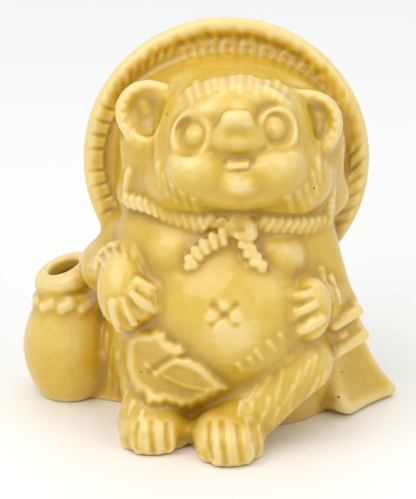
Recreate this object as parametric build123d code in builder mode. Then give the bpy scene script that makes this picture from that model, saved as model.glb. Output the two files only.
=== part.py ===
from build123d import *

import os
from math import asin, cos, pi, radians, sin, sqrt

# A seated tanuki in glazed stoneware, modelled as the clay members that are luted together before
# firing. X runs to the viewer's right, Y away from the viewer and Z up, in millimetres. The origin
# lies on the table under the body's axis. Right and left are the figure's own.

# Pressed clay
clay_wall = 3.5
base_thickness = 3.0
neck_passage_radius = 6.0

# Torso, given as ellipses at five heights, and the rump behind it
base_half_width = 22.0
base_half_depth = 12.5
base_back_shift = 5.5
hip_height = 20.0
hip_half_width = 24.0
hip_half_depth = 18.5
chest_height = 38.0
chest_half_width = 23.0
chest_half_depth = 16.5
collar_height = 48.5
collar_half_width = 20.5
collar_half_depth = 12.6
torso_height = 53.5
torso_top_half_width = 14.0
torso_top_half_depth = 9.0
rump_half_width = 28.0
rump_half_height = 16.0
rump_half_depth = 10.0
rump_height = 13.0
rump_back = 9.0
flank_radius = 4.9
flank_side = -21.2
flank_back = 13.0
flank_height = 14.0

# Drum belly with its crossed navel
belly_half_width = 19.0
belly_half_height = 17.0
belly_half_depth = 16.0
belly_height = 28.5
belly_forward = 6.5
belly_aside = 1.5
navel_aside = -1.5
navel_rise = 3.2
navel_arm_length = 4.6
navel_groove_radius = 0.6

# Breasts
breast_half_width = 5.4
breast_half_height = 4.4
breast_half_depth = 4.6
breast_spacing = 23.0
breast_height = 44.2
breast_forward = 11.6

# Head, tilted back to look up
head_half_width = 18.5
head_half_height = 14.5
head_half_depth = 15.0
head_aside = 2.5
head_forward = 3.0
head_lift = 11.1
look_up = 21.0
jaw_half_width = 14.0
jaw_half_height = 7.0
jaw_half_depth = 11.0
jaw_drop = 7.0
jaw_forward = 3.0

# Face
right_eye_at = (-9.4, 1.2)
left_eye_at = (9.3, 2.2)
eye_patch_radius = 4.3
eye_patch_depth = 0.9
eye_ring_radius = 4.7
eye_ring_roll = 0.85
eye_ring_sink = 0.45
eyeball_radius = 2.3
eyeball_height = 1.7
pupil_radius = 1.35
pupil_height = 0.7
muzzle_half_width = 5.2
muzzle_half_height = 5.2
muzzle_half_depth = 6.6
muzzle_rise = 0.8
muzzle_proud = 4.0
nose_half_width = 4.2
nose_half_height = 3.2
nose_half_depth = 2.6
nose_rise = 0.9
nose_proud = 1.3
cheek_half_width = 6.2
cheek_half_height = 5.0
cheek_half_depth = 5.0
cheek_spacing = 18.2
cheek_drop = 6.4
cheek_proud = 1.9
chin_half_width = 4.6
chin_half_height = 3.2
chin_half_depth = 4.0
chin_drop = 9.4
chin_proud = 3.2
tongue_width = 4.4
tongue_roll = 0.9
tongue_drop = 5.6

# Ears
ear_half_width = 5.6
ear_half_height = 6.4
ear_half_depth = 3.4
right_ear_at = (-18.4, 6.0)
left_ear_at = (16.8, 4.0)
ear_forward = 1.6
ear_hollow_inset = 1.5
ear_hollow_depth = 2.6
ear_fold_radius = 1.3

# Straw hat worn as a halo on the back of the head
hat_radius = 30.2
hat_lean = 9.0
hat_back = 12.0
hat_drop = 8.7
hat_aside = -2.2
hat_rim_roll = 1.9
hat_edge_thickness = 2.6
hat_dish_depth = 2.6
hat_cone_height = 13.0
hat_apex_radius = 5.0
hat_rib_count = 27
hat_rib_first = -33.0
hat_rib_fan = 246.0
hat_rib_radius = 0.7
hat_rib_sink = 0.25
hat_rib_length = 7.0
hat_band_half_width = 24.0
hat_band_half_height = 20.8
hat_band_thickness = 2.4
hat_band_proud = 2.0
hat_band_round = 0.6
hat_band_low_end = 3.0
hat_crown_half_width = 22.4
hat_crown_half_height = 17.0
hat_crown_half_depth = 11.0
hat_crown_back = 5.0
hat_crown_drop = 3.0

# Chin cord, its knot and its two tails
cord_radius = 1.35
cord_pitch = 2.5
cord_slant = 38.0
cord_core = 0.86
cord_tilt = 4.0
cord_proud = 0.9
cord_run_angle = 86.0
cord_knot_angle = 9.0
knot_half_width = 4.2
knot_half_height = 2.2
knot_half_depth = 2.0
knot_aside = 1.0
tail_cord_radius = 1.3
tail_cord_start = 2.9
right_tail_reach = 8.6
right_tail_drop = 6.4
left_tail_reach = 4.4
left_tail_drop = 7.4
tail_cord_forward = 3.4

# Arms and paws
shoulder_radius = 6.8
elbow_radius = 5.6
wrist_radius = 4.9
shoulder_inset = 6.8
shoulder_height = 43.0
shoulder_back = 4.0
right_elbow_out = 1.8
right_elbow_back = 6.0
right_elbow_height = 32.5
left_elbow_out = -0.4
left_elbow_back = 2.0
left_elbow_height = 24.8
right_wrist_height = 36.0
left_wrist_height = 30.6
right_paw_half_width = 5.9
right_paw_half_height = 7.6
left_paw_half_width = 4.7
left_paw_half_height = 6.6
paw_half_depth = 5.0
right_paw_centre = (-20.0, -12.4, 35.2)
left_paw_centre = (18.0, -15.6, 31.2)
right_paw_turn = -14.0
left_paw_turn = 40.0
finger_count = 4
finger_radius = 1.5
finger_length = 2.6
finger_fan = 17.0

# Legs and feet
thigh_radius = 9.0
knee_radius = 7.6
ankle_radius = 6.0
right_hip = (-14.5, -1.0, 15.5)
right_ankle = (-15.2, -10.5, 7.0)
left_hip = (14.5, 1.0, 14.0)
left_knee = (17.6, -11.5, 18.6)
left_ankle = (4.6, -15.0, 7.6)
foot_half_width = 7.3
foot_half_height = 5.6
foot_half_depth = 8.4
foot_height = 3.9
right_foot_centre = (-15.2, -13.0)
left_foot_centre = (0.4, -18.4)
right_foot_turn = 3.0
left_foot_turn = 10.0
toe_count = 4
toe_half_width = 1.9
toe_half_height = 2.7
toe_half_depth = 3.2
toe_fan = 22.0

# Leaf held in front of the right leg
leaf_length = 23.0
leaf_half_width = 7.0
leaf_thickness = 1.6
leaf_backing = 10.0
leaf_reach = 8.0
leaf_turn = 32.0
leaf_tilt = 24.0
leaf_centre = (-10.4, -18.8, 18.4)
leaf_lobe_count = 7
leaf_lobe_bulge = 0.9

# Sake flask at the right hip
flask_radius = 9.7
flask_belly_height = 11.0
flask_foot_radius = 6.4
flask_shoulder_height = 22.0
flask_neck_radius = 7.3
flask_lip_height = 29.8
flask_lip_radius = 7.0
flask_lip_shift = -1.0
flask_lip_tilt = 20.0
flask_lip_thickness = 3.0
flask_lip_round = 1.6
flask_mouth_radius = 3.4
flask_wall = 2.4
flask_sink = 3.9
flask_back = 13.0
flask_vent_radius = 1.5
flask_cord_radius = 1.05
flask_cord_pitch = 3.3
flask_cord_rise = 2.2
flask_cord_ring = 7.5

# Passbook at the left hip
book_width = 7.0
book_height = 4.6
book_depth = 10.0
book_cover_thickness = 1.2
book_cover_overhang = 0.7
book_edge_round = 0.4
book_turn = 27.0
book_centre = (24.6, -1.5, 21.9)

# Tail: a flat brush that flares to the table beside the left hip
tail_turn = 48.0
tail_thickness = 9.0
tail_corner_radius = 2.2
tail_foot_length = 16.4
tail_foot_centre = (29.0, 10.8)
tail_mid_height = 9.0
tail_mid_length = 10.8
tail_mid_centre = (25.6, 10.1)
tail_root_height = 19.0
tail_root_length = 9.4
tail_root_centre = (23.2, 9.3)
tail_foot_round = 1.0


def ball(place, half_width, half_height, half_depth, mode=Mode.ADD):
    """An egg-shaped lump of clay, its three half sizes along the axes of its place."""
    lump = scale(
        Sphere(1, mode=Mode.PRIVATE),
        by=(half_width, half_height, half_depth),
        mode=Mode.PRIVATE,
    )
    add(place * lump, mode=mode)


def limb(start, end, start_radius, end_radius):
    """A round-ended tapering roll of clay from one point to another."""
    along = (Vector(end) - Vector(start)).normalized()
    length = (Vector(end) - Vector(start)).length
    lean = asin((start_radius - end_radius) / length)
    across = Plane(origin=start, z_dir=along).x_dir
    low_mid, high_mid = (lean - pi / 2) / 2, (lean + pi / 2) / 2
    with BuildSketch(Plane(origin=start, x_dir=across, z_dir=across.cross(along))) as outline:
        with BuildLine():
            low = (start_radius * cos(lean), start_radius * sin(lean))
            high = (end_radius * cos(lean), length + end_radius * sin(lean))
            ThreePointArc(
                (0, -start_radius),
                (start_radius * cos(low_mid), start_radius * sin(low_mid)),
                low,
            )
            Line(low, high)
            ThreePointArc(
                high,
                (end_radius * cos(high_mid), length + end_radius * sin(high_mid)),
                (0, length + end_radius),
            )
            Line((0, length + end_radius), (0, -start_radius))
        make_face()
    revolve(outline.sketch, axis=Axis(start, along))


def strands(path, heart, radius, pitch):
    """The slanting strands of a twisted cord, laid along its path round a point."""
    count = round(path.length / pitch)
    for step in range(count):
        share = (step + 0.5) / count
        along = path.tangent_at(share)
        outward = path.position_at(share) - heart
        lay = Plane(path.position_at(share), x_dir=outward - along * outward.dot(along), z_dir=along)
        half_strand = lay.rotated((cord_slant, 0, 0)).z_dir * (pitch / 2)
        limb(lay.origin - half_strand, lay.origin + half_strand, radius, radius)


def rope(path, heart, radius, pitch):
    """A twisted cord along a path: a round core wound with slanting strands."""
    with BuildSketch(Plane(path.location_at(0))) as core:
        Circle(radius * cord_core)
    sweep(core.sketch, path=path)
    strands(path, heart, radius, pitch)


def seat(piece, *neighbours):
    """Trims the piece being built to lie face to face on its neighbours."""
    for neighbour in neighbours:
        add(neighbour.part, mode=Mode.SUBTRACT)
    add(piece.solids().sort_by(SortBy.VOLUME)[-1], mode=Mode.REPLACE)


def on_skin(place, half_sizes, across, up, proud=0.0):
    """The plane that lies on an egg's front skin, its Z axis square to the skin."""
    half_width, half_height, half_depth = half_sizes
    out = half_depth * sqrt(1 - (across / half_width) ** 2 - (up / half_height) ** 2)
    slope = Vector(across / half_width**2, up / half_height**2, out / half_depth**2).normalized()
    normal = place.x_dir * slope.X + place.y_dir * slope.Y + place.z_dir * slope.Z
    point = place.from_local_coords(Vector(across, up, out)) + normal * proud
    return Plane(origin=point, x_dir=place.y_dir.cross(normal), z_dir=normal)


def facing(centre, turn=0.0, tilt=0.0):
    """An upright plane at a point, facing the viewer, turned clockwise and tilted up."""
    front = (0, -cos(radians(tilt)), sin(radians(tilt)))
    return Plane(origin=centre, x_dir=(1, 0, 0), z_dir=front).rotated((0, 0, -turn))


def torso_shell(inset, top):
    """The torso's lofted body, drawn in by a wall's thickness."""
    sections = []
    for height, half_width, half_depth, back in (
        (0.0, base_half_width, base_half_depth, base_back_shift),
        (hip_height, hip_half_width, hip_half_depth, 0.0),
        (chest_height, chest_half_width, chest_half_depth, 0.0),
        (collar_height - inset, collar_half_width, collar_half_depth, 0.0),
        (top, torso_top_half_width, torso_top_half_depth, 0.0),
    ):
        with BuildSketch(Plane.XY.offset(height)) as section:
            with Locations((0, back)):
                Ellipse(half_width - inset, half_depth - inset)
        sections.append(section.sketch)
    loft(sections)


# Torso: a hollow pressed shell, open below, at the neck and at the flask's vent
with BuildPart() as torso_form:
    torso_shell(0.0, torso_height)
    ball(Plane((0, rump_back, rump_height)), rump_half_width, rump_half_depth, rump_half_height)
    flank_foot = Vector(flank_side, flank_back, 0)
    limb(flank_foot, flank_foot + Vector(0, 0, flank_height), flank_radius, flank_radius)
    split(bisect_by=Plane.XY)

with BuildPart() as torso_cavity:
    torso_shell(clay_wall, torso_height - clay_wall)

head_plane = facing((head_aside, -head_forward, torso_height + head_lift), tilt=look_up)
head_upright = Plane(head_plane.origin, x_dir=-head_plane.z_dir, z_dir=head_plane.y_dir)
head_sizes = (head_half_width, head_half_height, head_half_depth)

with BuildPart() as neck_passage:
    with Locations((head_aside, 0, torso_height)):
        Cylinder(neck_passage_radius, 2 * head_lift)

flask_axis = Axis((flask_sink - rump_half_width - flask_radius, flask_back, 0), (0, 0, 1))
with BuildPart() as flask_vent:
    with BuildSketch(Plane.YZ):
        with Locations((flask_back, flask_belly_height)):
            Circle(flask_vent_radius)
    extrude(amount=flask_axis.position.X)

with BuildPart() as torso:
    add(torso_form.part)
    add([torso_cavity.part, neck_passage.part, flask_vent.part], mode=Mode.SUBTRACT)

# Base: a slab let into the open foot of the torso
with BuildPart() as base_plate:
    add(torso_cavity.part)
    split(bisect_by=Plane.XY.offset(base_thickness), keep=Keep.BOTTOM)

# Belly: a drum of clay on the front, with a navel of two crossed grooves
belly_plane = facing((belly_aside, -belly_forward, belly_height))
belly_sizes = (belly_half_width, belly_half_height, belly_half_depth)
navel_plane = on_skin(belly_plane, belly_sizes, navel_aside, navel_rise)
with BuildPart() as belly:
    ball(belly_plane, *belly_sizes)
    for turn in (45, 135):
        groove_dir = navel_plane.rotated((0, 0, turn)).x_dir
        with BuildSketch(Plane(navel_plane.origin, x_dir=navel_plane.z_dir, z_dir=groove_dir)):
            Circle(navel_groove_radius)
        extrude(amount=navel_arm_length / 2, both=True, mode=Mode.SUBTRACT)
    seat(belly, torso_form)

# Head: a hollow egg with a broad jaw on the torso's neck, and a dished patch for each eye
with BuildPart() as head_form:
    ball(head_upright, head_half_depth, head_half_width, head_half_height)
    jaw_centre = head_plane.from_local_coords(Vector(0, -jaw_drop, jaw_forward))
    jaw_plane = Plane(jaw_centre, head_plane.x_dir, head_plane.z_dir)
    ball(jaw_plane, jaw_half_width, jaw_half_height, jaw_half_depth)
    for eye_at in (right_eye_at, left_eye_at):
        eye_patch = on_skin(head_plane, head_sizes, *eye_at)
        ball(eye_patch, eye_patch_radius, eye_patch_radius, eye_patch_depth, mode=Mode.SUBTRACT)
    seat(head_form, torso_form)

with BuildPart() as head:
    add(head_form.part)
    with Locations(head_plane):
        Sphere(min(head_sizes) - clay_wall, mode=Mode.SUBTRACT)
    add(neck_passage.part, mode=Mode.SUBTRACT)

# Muzzle and nose
with BuildPart() as muzzle:
    tip = on_skin(head_plane, head_sizes, 0, muzzle_rise, muzzle_proud - muzzle_half_depth)
    ball(tip, muzzle_half_width, muzzle_half_height, muzzle_half_depth)
    seat(muzzle, head_form)

with BuildPart() as nose:
    nose_reach = muzzle_proud + nose_proud - nose_half_depth
    tip = on_skin(head_plane, head_sizes, 0, nose_rise, nose_reach)
    tip_turned = Plane(tip.origin, x_dir=tip.y_dir, z_dir=tip.z_dir)
    ball(tip_turned, nose_half_height, nose_half_width, nose_half_depth)
    seat(nose, head_form, muzzle)

# Cheeks, chin and tongue
cheeks = {}
for name, side in (("right_cheek", -1), ("left_cheek", 1)):
    cheek_in = cheek_proud - cheek_half_depth
    pad = on_skin(head_plane, head_sizes, side * cheek_spacing / 2, -cheek_drop, cheek_in)
    with BuildPart() as cheek:
        ball(pad, cheek_half_width, cheek_half_height, cheek_half_depth)
        seat(cheek, torso_form, head_form, muzzle, nose)
    cheeks[name] = cheek

with BuildPart() as chin:
    pad = on_skin(head_plane, head_sizes, 0, -chin_drop, chin_proud - chin_half_depth)
    ball(pad, chin_half_width, chin_half_height, chin_half_depth)
    seat(chin, torso_form, head_form, *cheeks.values())

with BuildPart() as tongue:
    bed = on_skin(head_plane, head_sizes, 0, -tongue_drop)
    reach = bed.x_dir * (tongue_width / 2 - tongue_roll)
    limb(bed.origin - reach, bed.origin + reach, tongue_roll, tongue_roll)
    seat(tongue, head_form, muzzle, chin, *cheeks.values())

# Eyes: a rolled ring round each patch, and an eyeball with a raised pupil
eye_rings, eyes = {}, {}
for name, eye_at in (("right_eye", right_eye_at), ("left_eye", left_eye_at)):
    eye_place = on_skin(head_plane, head_sizes, *eye_at)
    with BuildPart() as eye_ring:
        rim = eye_place.offset(-eye_ring_sink)
        with BuildSketch(Plane(rim.origin, x_dir=rim.x_dir, z_dir=rim.y_dir)):
            with Locations((eye_ring_radius, 0)):
                Circle(eye_ring_roll)
        revolve(axis=Axis(rim.origin, rim.z_dir))
        seat(eye_ring, head_form, muzzle, nose, *cheeks.values())
    eye_rings[f"{name}_ring"] = eye_ring
    with BuildPart() as eye:
        bed = eye_place.offset(-eye_patch_depth)
        ball(bed, eyeball_radius, eyeball_radius, eyeball_height)
        ball(bed.offset(eyeball_height), pupil_radius, pupil_radius, pupil_height)
        seat(eye, head_form, muzzle, *cheeks.values())
    eyes[name] = eye

# Ears: cupped lumps on the sides of the head, each with a fold inside
ears = {}
for name, ear_at in (("right_ear", right_ear_at), ("left_ear", left_ear_at)):
    with BuildPart() as ear:
        root = Vector(*ear_at, ear_forward)
        cup = Plane(head_plane.from_local_coords(root), head_plane.x_dir, head_plane.z_dir)
        hollow_width = ear_half_width - ear_hollow_inset
        hollow_height = ear_half_height - ear_hollow_inset
        ball(cup, ear_half_width, ear_half_height, ear_half_depth)
        mouth = cup.offset(ear_half_depth)
        ball(mouth, hollow_width, hollow_height, ear_hollow_depth, mode=Mode.SUBTRACT)
        ball(cup, ear_fold_radius, hollow_height - ear_hollow_inset, ear_half_depth / 2)
        seat(ear, head_form)
    ears[name] = ear

# Arms, bent at the elbow to bring the paws to the front
arms, paws = {}, {}
right_paw_half = (right_paw_half_width, right_paw_half_height)
left_paw_half = (left_paw_half_width, left_paw_half_height)
right_elbow = (-chest_half_width - right_elbow_out, right_elbow_back, right_elbow_height)
left_elbow = (chest_half_width + left_elbow_out, left_elbow_back, left_elbow_height)
for name, side, elbow, wrist_height, paw_centre, paw_turn, paw_half in (
    ("right", -1, right_elbow, right_wrist_height, right_paw_centre, right_paw_turn, right_paw_half),
    ("left", 1, left_elbow, left_wrist_height, left_paw_centre, left_paw_turn, left_paw_half),
):
    shoulder = (side * (chest_half_width - shoulder_inset), shoulder_back, shoulder_height)
    wrist = (paw_centre[0], paw_centre[1] + paw_half_depth, wrist_height)
    paw_half_width, paw_half_height = paw_half
    with BuildPart() as arm:
        limb(shoulder, elbow, shoulder_radius, elbow_radius)
        limb(elbow, wrist, elbow_radius, wrist_radius)
        seat(arm, torso_form, belly, head_form)
    arms[f"{name}_arm"] = arm
    paw_plane = facing(paw_centre, paw_turn)
    with BuildPart() as paw:
        ball(paw_plane, paw_half_width, paw_half_height, paw_half_depth)
        for step in range(finger_count):
            splay = radians((step - (finger_count - 1) / 2) * finger_fan)
            knuckle = Vector(sin(splay) * paw_half_height, -cos(splay) * paw_half_height, 0)
            root = paw_plane.from_local_coords(knuckle * (1 - finger_length / paw_half_height))
            tip = paw_plane.from_local_coords(knuckle)
            limb(root, tip, finger_radius * 1.2, finger_radius)
        seat(paw, torso_form, belly, arm)
    paws[f"{name}_paw"] = paw

# Breasts
breasts = {}
for name, side in (("right_breast", -1), ("left_breast", 1)):
    centre = (belly_aside + side * breast_spacing / 2, -breast_forward, breast_height)
    with BuildPart() as breast:
        ball(facing(centre), breast_half_width, breast_half_height, breast_half_depth)
        seat(breast, torso_form, belly, head_form, *arms.values(), *paws.values())
    breasts[name] = breast

# Hat: a shallow straw cone behind the head, its rolled rim, ribbed brim and head band
hat_centre = head_plane.origin + Vector(hat_aside, hat_back, -hat_drop)
hat_plane = facing(hat_centre, tilt=hat_lean)
hat_axis = Axis(hat_centre, hat_plane.z_dir)
hat_section = Plane(hat_centre, x_dir=hat_plane.x_dir, z_dir=-hat_plane.y_dir)
hat_neighbours = (torso_form, head_form, *ears.values(), *arms.values())
rim_centre = hat_radius - hat_rim_roll
with BuildPart() as hat_rim:
    with BuildSketch(hat_section):
        with Locations((rim_centre, 0)):
            Circle(hat_rim_roll)
    revolve(axis=hat_axis)
    seat(hat_rim, *hat_neighbours)

dish_edge = hat_edge_thickness / 2
dish_slope = hat_dish_depth / rim_centre
brim_edge = rim_centre - hat_rim_roll
rib_end = brim_edge - hat_rib_radius
rib_level = dish_edge - hat_rib_sink
with BuildPart() as hat_rib:
    limb(
        hat_plane.from_local_coords(Vector(rib_end, 0, rib_level)),
        hat_plane.from_local_coords(
            Vector(rib_end - hat_rib_length, 0, rib_level - hat_rib_length * dish_slope)
        ),
        hat_rib_radius,
        hat_rib_radius * 0.9,
    )

with BuildPart() as hat_brim:
    with BuildSketch(hat_section):
        with BuildLine():
            groove_front = (rim_centre - sqrt(hat_rim_roll**2 - dish_edge**2), dish_edge)
            groove_back = (groove_front[0], -dish_edge)
            crown = (hat_apex_radius, -hat_cone_height)
            ThreePointArc(groove_back, (brim_edge, 0), groove_front)
            Line(groove_front, (0, dish_edge - hat_dish_depth))
            Line((0, dish_edge - hat_dish_depth), (0, -hat_cone_height))
            Line((0, -hat_cone_height), crown)
            Line(crown, groove_back)
        make_face()
    revolve(axis=hat_axis)
    for step in range(hat_rib_count):
        turn = hat_rib_first + step * hat_rib_fan / (hat_rib_count - 1)
        add(hat_rib.part.rotate(hat_axis, turn))
    seat(hat_brim, *hat_neighbours)

with BuildPart() as hat_headband:
    with BuildSketch(hat_plane.offset(-hat_edge_thickness)):
        Ellipse(hat_band_half_width, hat_band_half_height)
        Ellipse(
            hat_band_half_width - hat_band_thickness,
            hat_band_half_height - hat_band_thickness,
            mode=Mode.SUBTRACT,
        )
    extrude(amount=hat_edge_thickness + hat_band_proud)
    fillet(hat_headband.faces().sort_by(hat_axis)[-1].edges(), hat_band_round)
    low_end = hat_centre + hat_plane.y_dir * hat_band_low_end
    split(bisect_by=Plane(low_end, x_dir=hat_plane.x_dir, z_dir=hat_plane.y_dir))
    seat(hat_headband, *hat_neighbours, hat_brim, hat_rim)

# Crown: the lining of the hat, swelling round the back of the head
crown_centre = head_plane.origin + Vector(0, hat_crown_back, -hat_crown_drop)
with BuildPart() as hat_crown:
    crown_plane = facing(crown_centre, tilt=look_up)
    ball(crown_plane, hat_crown_half_width, hat_crown_half_height, hat_crown_half_depth)
    seat(hat_crown, *hat_neighbours, hat_brim, hat_rim, hat_headband)

# Chin cord: two twisted runs along the collar, a knot and two hanging tails
collar_plane = Plane.XY.offset(collar_height).rotated((0, cord_tilt, 0))
cord_half_width = collar_half_width + cord_proud
cord_half_depth = collar_half_depth + cord_proud
cord_neighbours = (*hat_neighbours, belly, hat_brim, hat_rim, *cheeks.values(), *breasts.values(), chin)
cords = {}
for name, side in (("chin_cord_right", -1), ("chin_cord_left", 1)):
    with BuildPart() as cord:
        with BuildLine(collar_plane) as cord_path:
            EllipticalCenterArc(
                (0, 0),
                cord_half_width,
                cord_half_depth,
                270 + side * cord_knot_angle,
                arc_size=side * cord_run_angle,
            )
        rope(cord_path.wire(), collar_plane.origin, cord_radius, cord_pitch)
        seat(cord, *cord_neighbours)
    cords[name] = cord

knot_plane = facing(
    collar_plane.from_local_coords(Vector(knot_aside, -cord_half_depth, 0)), tilt=look_up
)
with BuildPart() as cord_knot:
    ball(knot_plane, knot_half_width, knot_half_height, knot_half_depth)
    seat(cord_knot, torso_form, head_form, belly, chin, *cheeks.values(), *cords.values())

cord_tails = {}
for name, reach, drop in (
    ("cord_tail_right", -right_tail_reach, right_tail_drop),
    ("cord_tail_left", left_tail_reach, left_tail_drop),
):
    with BuildPart() as cord_tail:
        hang = Vector(reach, -tail_cord_forward, -drop)
        with BuildLine() as tail_path:
            Line(knot_plane.origin + hang.normalized() * tail_cord_start, knot_plane.origin + hang)
        rope(tail_path.wire(), collar_plane.origin, tail_cord_radius, cord_pitch)
        seat(cord_tail, torso_form, belly, cord_knot, *breasts.values())
    cord_tails[name] = cord_tail

# Legs and feet
with BuildPart() as right_leg:
    limb(right_hip, right_ankle, thigh_radius, ankle_radius)
    seat(right_leg, torso_form, belly)

with BuildPart() as left_leg:
    limb(left_hip, left_knee, thigh_radius, knee_radius)
    limb(left_knee, left_ankle, knee_radius, ankle_radius)
    seat(left_leg, torso_form, belly, right_leg, *paws.values(), *arms.values())

feet = {}
for name, centre, turn, leg in (
    ("right_foot", right_foot_centre, right_foot_turn, right_leg),
    ("left_foot", left_foot_centre, left_foot_turn, left_leg),
):
    sole = Plane((*centre, foot_height)).rotated((0, 0, turn))
    with BuildPart() as foot:
        ball(sole, foot_half_width, foot_half_depth, foot_half_height)
        for step in range(toe_count):
            splay = radians((step - (toe_count - 1) / 2) * toe_fan)
            toe_tip = Vector(sin(splay) * foot_half_width, -cos(splay) * foot_half_depth, 0)
            toe_root = toe_tip * (1 - toe_half_width / foot_half_depth)
            root = sole.from_local_coords(toe_root + Vector(0, 0, toe_half_height - foot_height))
            ball(Plane(root, sole.x_dir), toe_half_width, toe_half_depth, toe_half_height)
        split(bisect_by=Plane.XY)
        seat(foot, torso_form, belly, leg)
    feet[name] = foot

# Leaf: a scalloped sheet draped over the belly and the right thigh
with BuildPart() as leaf:
    ball(belly_plane, *(size + leaf_thickness for size in belly_sizes))
    limb(right_hip, right_ankle, thigh_radius + leaf_thickness, ankle_radius + leaf_thickness)
    leaf_plane = facing(leaf_centre, leaf_turn, leaf_tilt)
    with BuildSketch(leaf_plane.offset(-leaf_backing)):
        with BuildLine():
            for side in (-1, 1):
                edge = []
                for step in range(leaf_lobe_count + 1):
                    along = step / leaf_lobe_count
                    girth = sin(pi * along**0.6)
                    edge.append(Vector(leaf_length * (along - 0.5), side * leaf_half_width * girth))
                for near, far in zip(edge, edge[1:]):
                    swell = Vector(near.Y - far.Y, far.X - near.X).normalized() * side * leaf_lobe_bulge
                    ThreePointArc(near, (near + far) / 2 + swell, far)
        make_face()
    extrude(amount=leaf_backing + leaf_reach, mode=Mode.INTERSECT)
    seat(leaf, torso_form, belly, right_leg, left_leg, *paws.values())

# Flask: a hollow turned body and a bent neck, with a rope round it
def flask_profile(wall):
    """One side of the flask body's section, drawn in by the wall."""
    with BuildSketch(Plane(flask_axis.position, x_dir=(1, 0, 0), z_dir=(0, -1, 0))) as outline:
        with BuildLine():
            foot = (flask_foot_radius - wall, wall)
            waist = (flask_radius - wall, flask_belly_height)
            shoulder = (flask_neck_radius - wall, flask_shoulder_height)
            Line((0, wall), foot)
            ThreePointArc(foot, waist, shoulder)
            Line(shoulder, (0, flask_shoulder_height))
            Line((0, flask_shoulder_height), (0, wall))
        make_face()
    revolve(outline.sketch, axis=flask_axis)


with BuildPart() as flask_form:
    flask_profile(0.0)

with BuildPart() as flask_cavity:
    flask_profile(flask_wall)

lip_centre = flask_axis.position + Vector(flask_lip_shift, 0, flask_lip_height)
lip_dir = (-sin(radians(flask_lip_tilt)), 0, cos(radians(flask_lip_tilt)))
lip_plane = Plane(lip_centre, x_dir=(0, 1, 0), z_dir=lip_dir)
neck_foot = Plane(flask_axis.position).offset(flask_shoulder_height)


def flask_neck_shell(inset, drop):
    """The bent neck, drawn in by the wall and down from the lip."""
    with BuildSketch(neck_foot) as foot:
        Circle(flask_neck_radius - inset)
    with BuildSketch(lip_plane.offset(-drop)) as lip:
        Circle(flask_lip_radius - inset)
    loft([foot.sketch, lip.sketch])


with BuildPart() as neck_form:
    flask_neck_shell(0.0, 0.0)
    fillet(neck_form.faces().sort_by(Axis.Z)[-1].edges(), flask_lip_round)

with BuildPart() as neck_cavity:
    flask_neck_shell(flask_wall, flask_lip_thickness)

with BuildPart() as flask_body:
    add(flask_form.part)
    seat(flask_body, torso_form, *arms.values())
    add(flask_cavity.part, mode=Mode.SUBTRACT)
    add(flask_vent.part, mode=Mode.SUBTRACT)

with BuildPart() as flask_neck:
    add(neck_form.part)
    seat(flask_neck, torso_form, *arms.values())
    add(neck_cavity.part, mode=Mode.SUBTRACT)
    with BuildSketch(lip_plane):
        Circle(flask_mouth_radius)
    extrude(amount=-flask_lip_thickness * 1.2, mode=Mode.SUBTRACT)

cord_level = neck_foot.offset(flask_cord_rise)
with BuildLine(cord_level) as flask_cord_path:
    CenterArc((0, 0), flask_cord_ring, 0, 360)

with BuildPart() as flask_cord:
    with BuildSketch(Plane(cord_level.origin, x_dir=(1, 0, 0), z_dir=(0, -1, 0))):
        with Locations((flask_cord_ring, 0)):
            Circle(flask_cord_radius * cord_core)
    revolve(axis=flask_axis)
    strands(flask_cord_path.wire(), cord_level.origin, flask_cord_radius, flask_cord_pitch)
    seat(flask_cord, neck_form)

# Passbook: a block of pages between two covers
book_plane = facing(book_centre, book_turn)
with BuildPart() as passbook:
    with BuildSketch(book_plane):
        Rectangle(book_width, book_height)
    extrude(amount=book_depth / 2, both=True)
    cover_shift = (book_height + book_cover_thickness) / 2
    with BuildSketch(book_plane):
        with Locations((0, cover_shift), (0, -cover_shift)):
            Rectangle(book_width + 2 * book_cover_overhang, book_cover_thickness)
    extrude(amount=book_depth / 2 + book_cover_overhang, both=True)
    seat(passbook, torso_form, belly, left_leg, *arms.values(), *paws.values())

# Tail, lofted through three flat sections
with BuildPart() as tail:
    tail_sections = []
    for height, centre, length in (
        (0.0, tail_foot_centre, tail_foot_length),
        (tail_mid_height, tail_mid_centre, tail_mid_length),
        (tail_root_height, tail_root_centre, tail_root_length),
    ):
        with BuildSketch(Plane.XY.offset(height)) as section:
            with Locations(Location(centre, tail_turn)):
                RectangleRounded(length, tail_thickness, tail_corner_radius)
        tail_sections.append(section.sketch)
    loft(tail_sections)
    fillet(tail.edges().group_by(Axis.Z)[0], tail_foot_round)
    seat(tail, torso_form, left_leg, passbook, *arms.values())

pieces = {
    "torso": torso,
    "base_plate": base_plate,
    "belly": belly,
    **breasts,
    "head": head,
    "muzzle": muzzle,
    "nose": nose,
    **cheeks,
    "chin": chin,
    "tongue": tongue,
    **eye_rings,
    **eyes,
    **ears,
    "hat_brim": hat_brim,
    "hat_rim": hat_rim,
    "hat_headband": hat_headband,
    "hat_crown": hat_crown,
    **cords,
    "cord_knot": cord_knot,
    **cord_tails,
    **arms,
    **paws,
    "leaf": leaf,
    "right_leg": right_leg,
    "left_leg": left_leg,
    **feet,
    "flask_body": flask_body,
    "flask_neck": flask_neck,
    "flask_cord": flask_cord,
    "passbook": passbook,
    "tail": tail,
}
os.makedirs("parts", exist_ok=True)
for name, piece in pieces.items():
    piece.part.label = name
    export_step(piece.part, f"parts/{name}.step")
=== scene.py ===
import math

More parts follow.
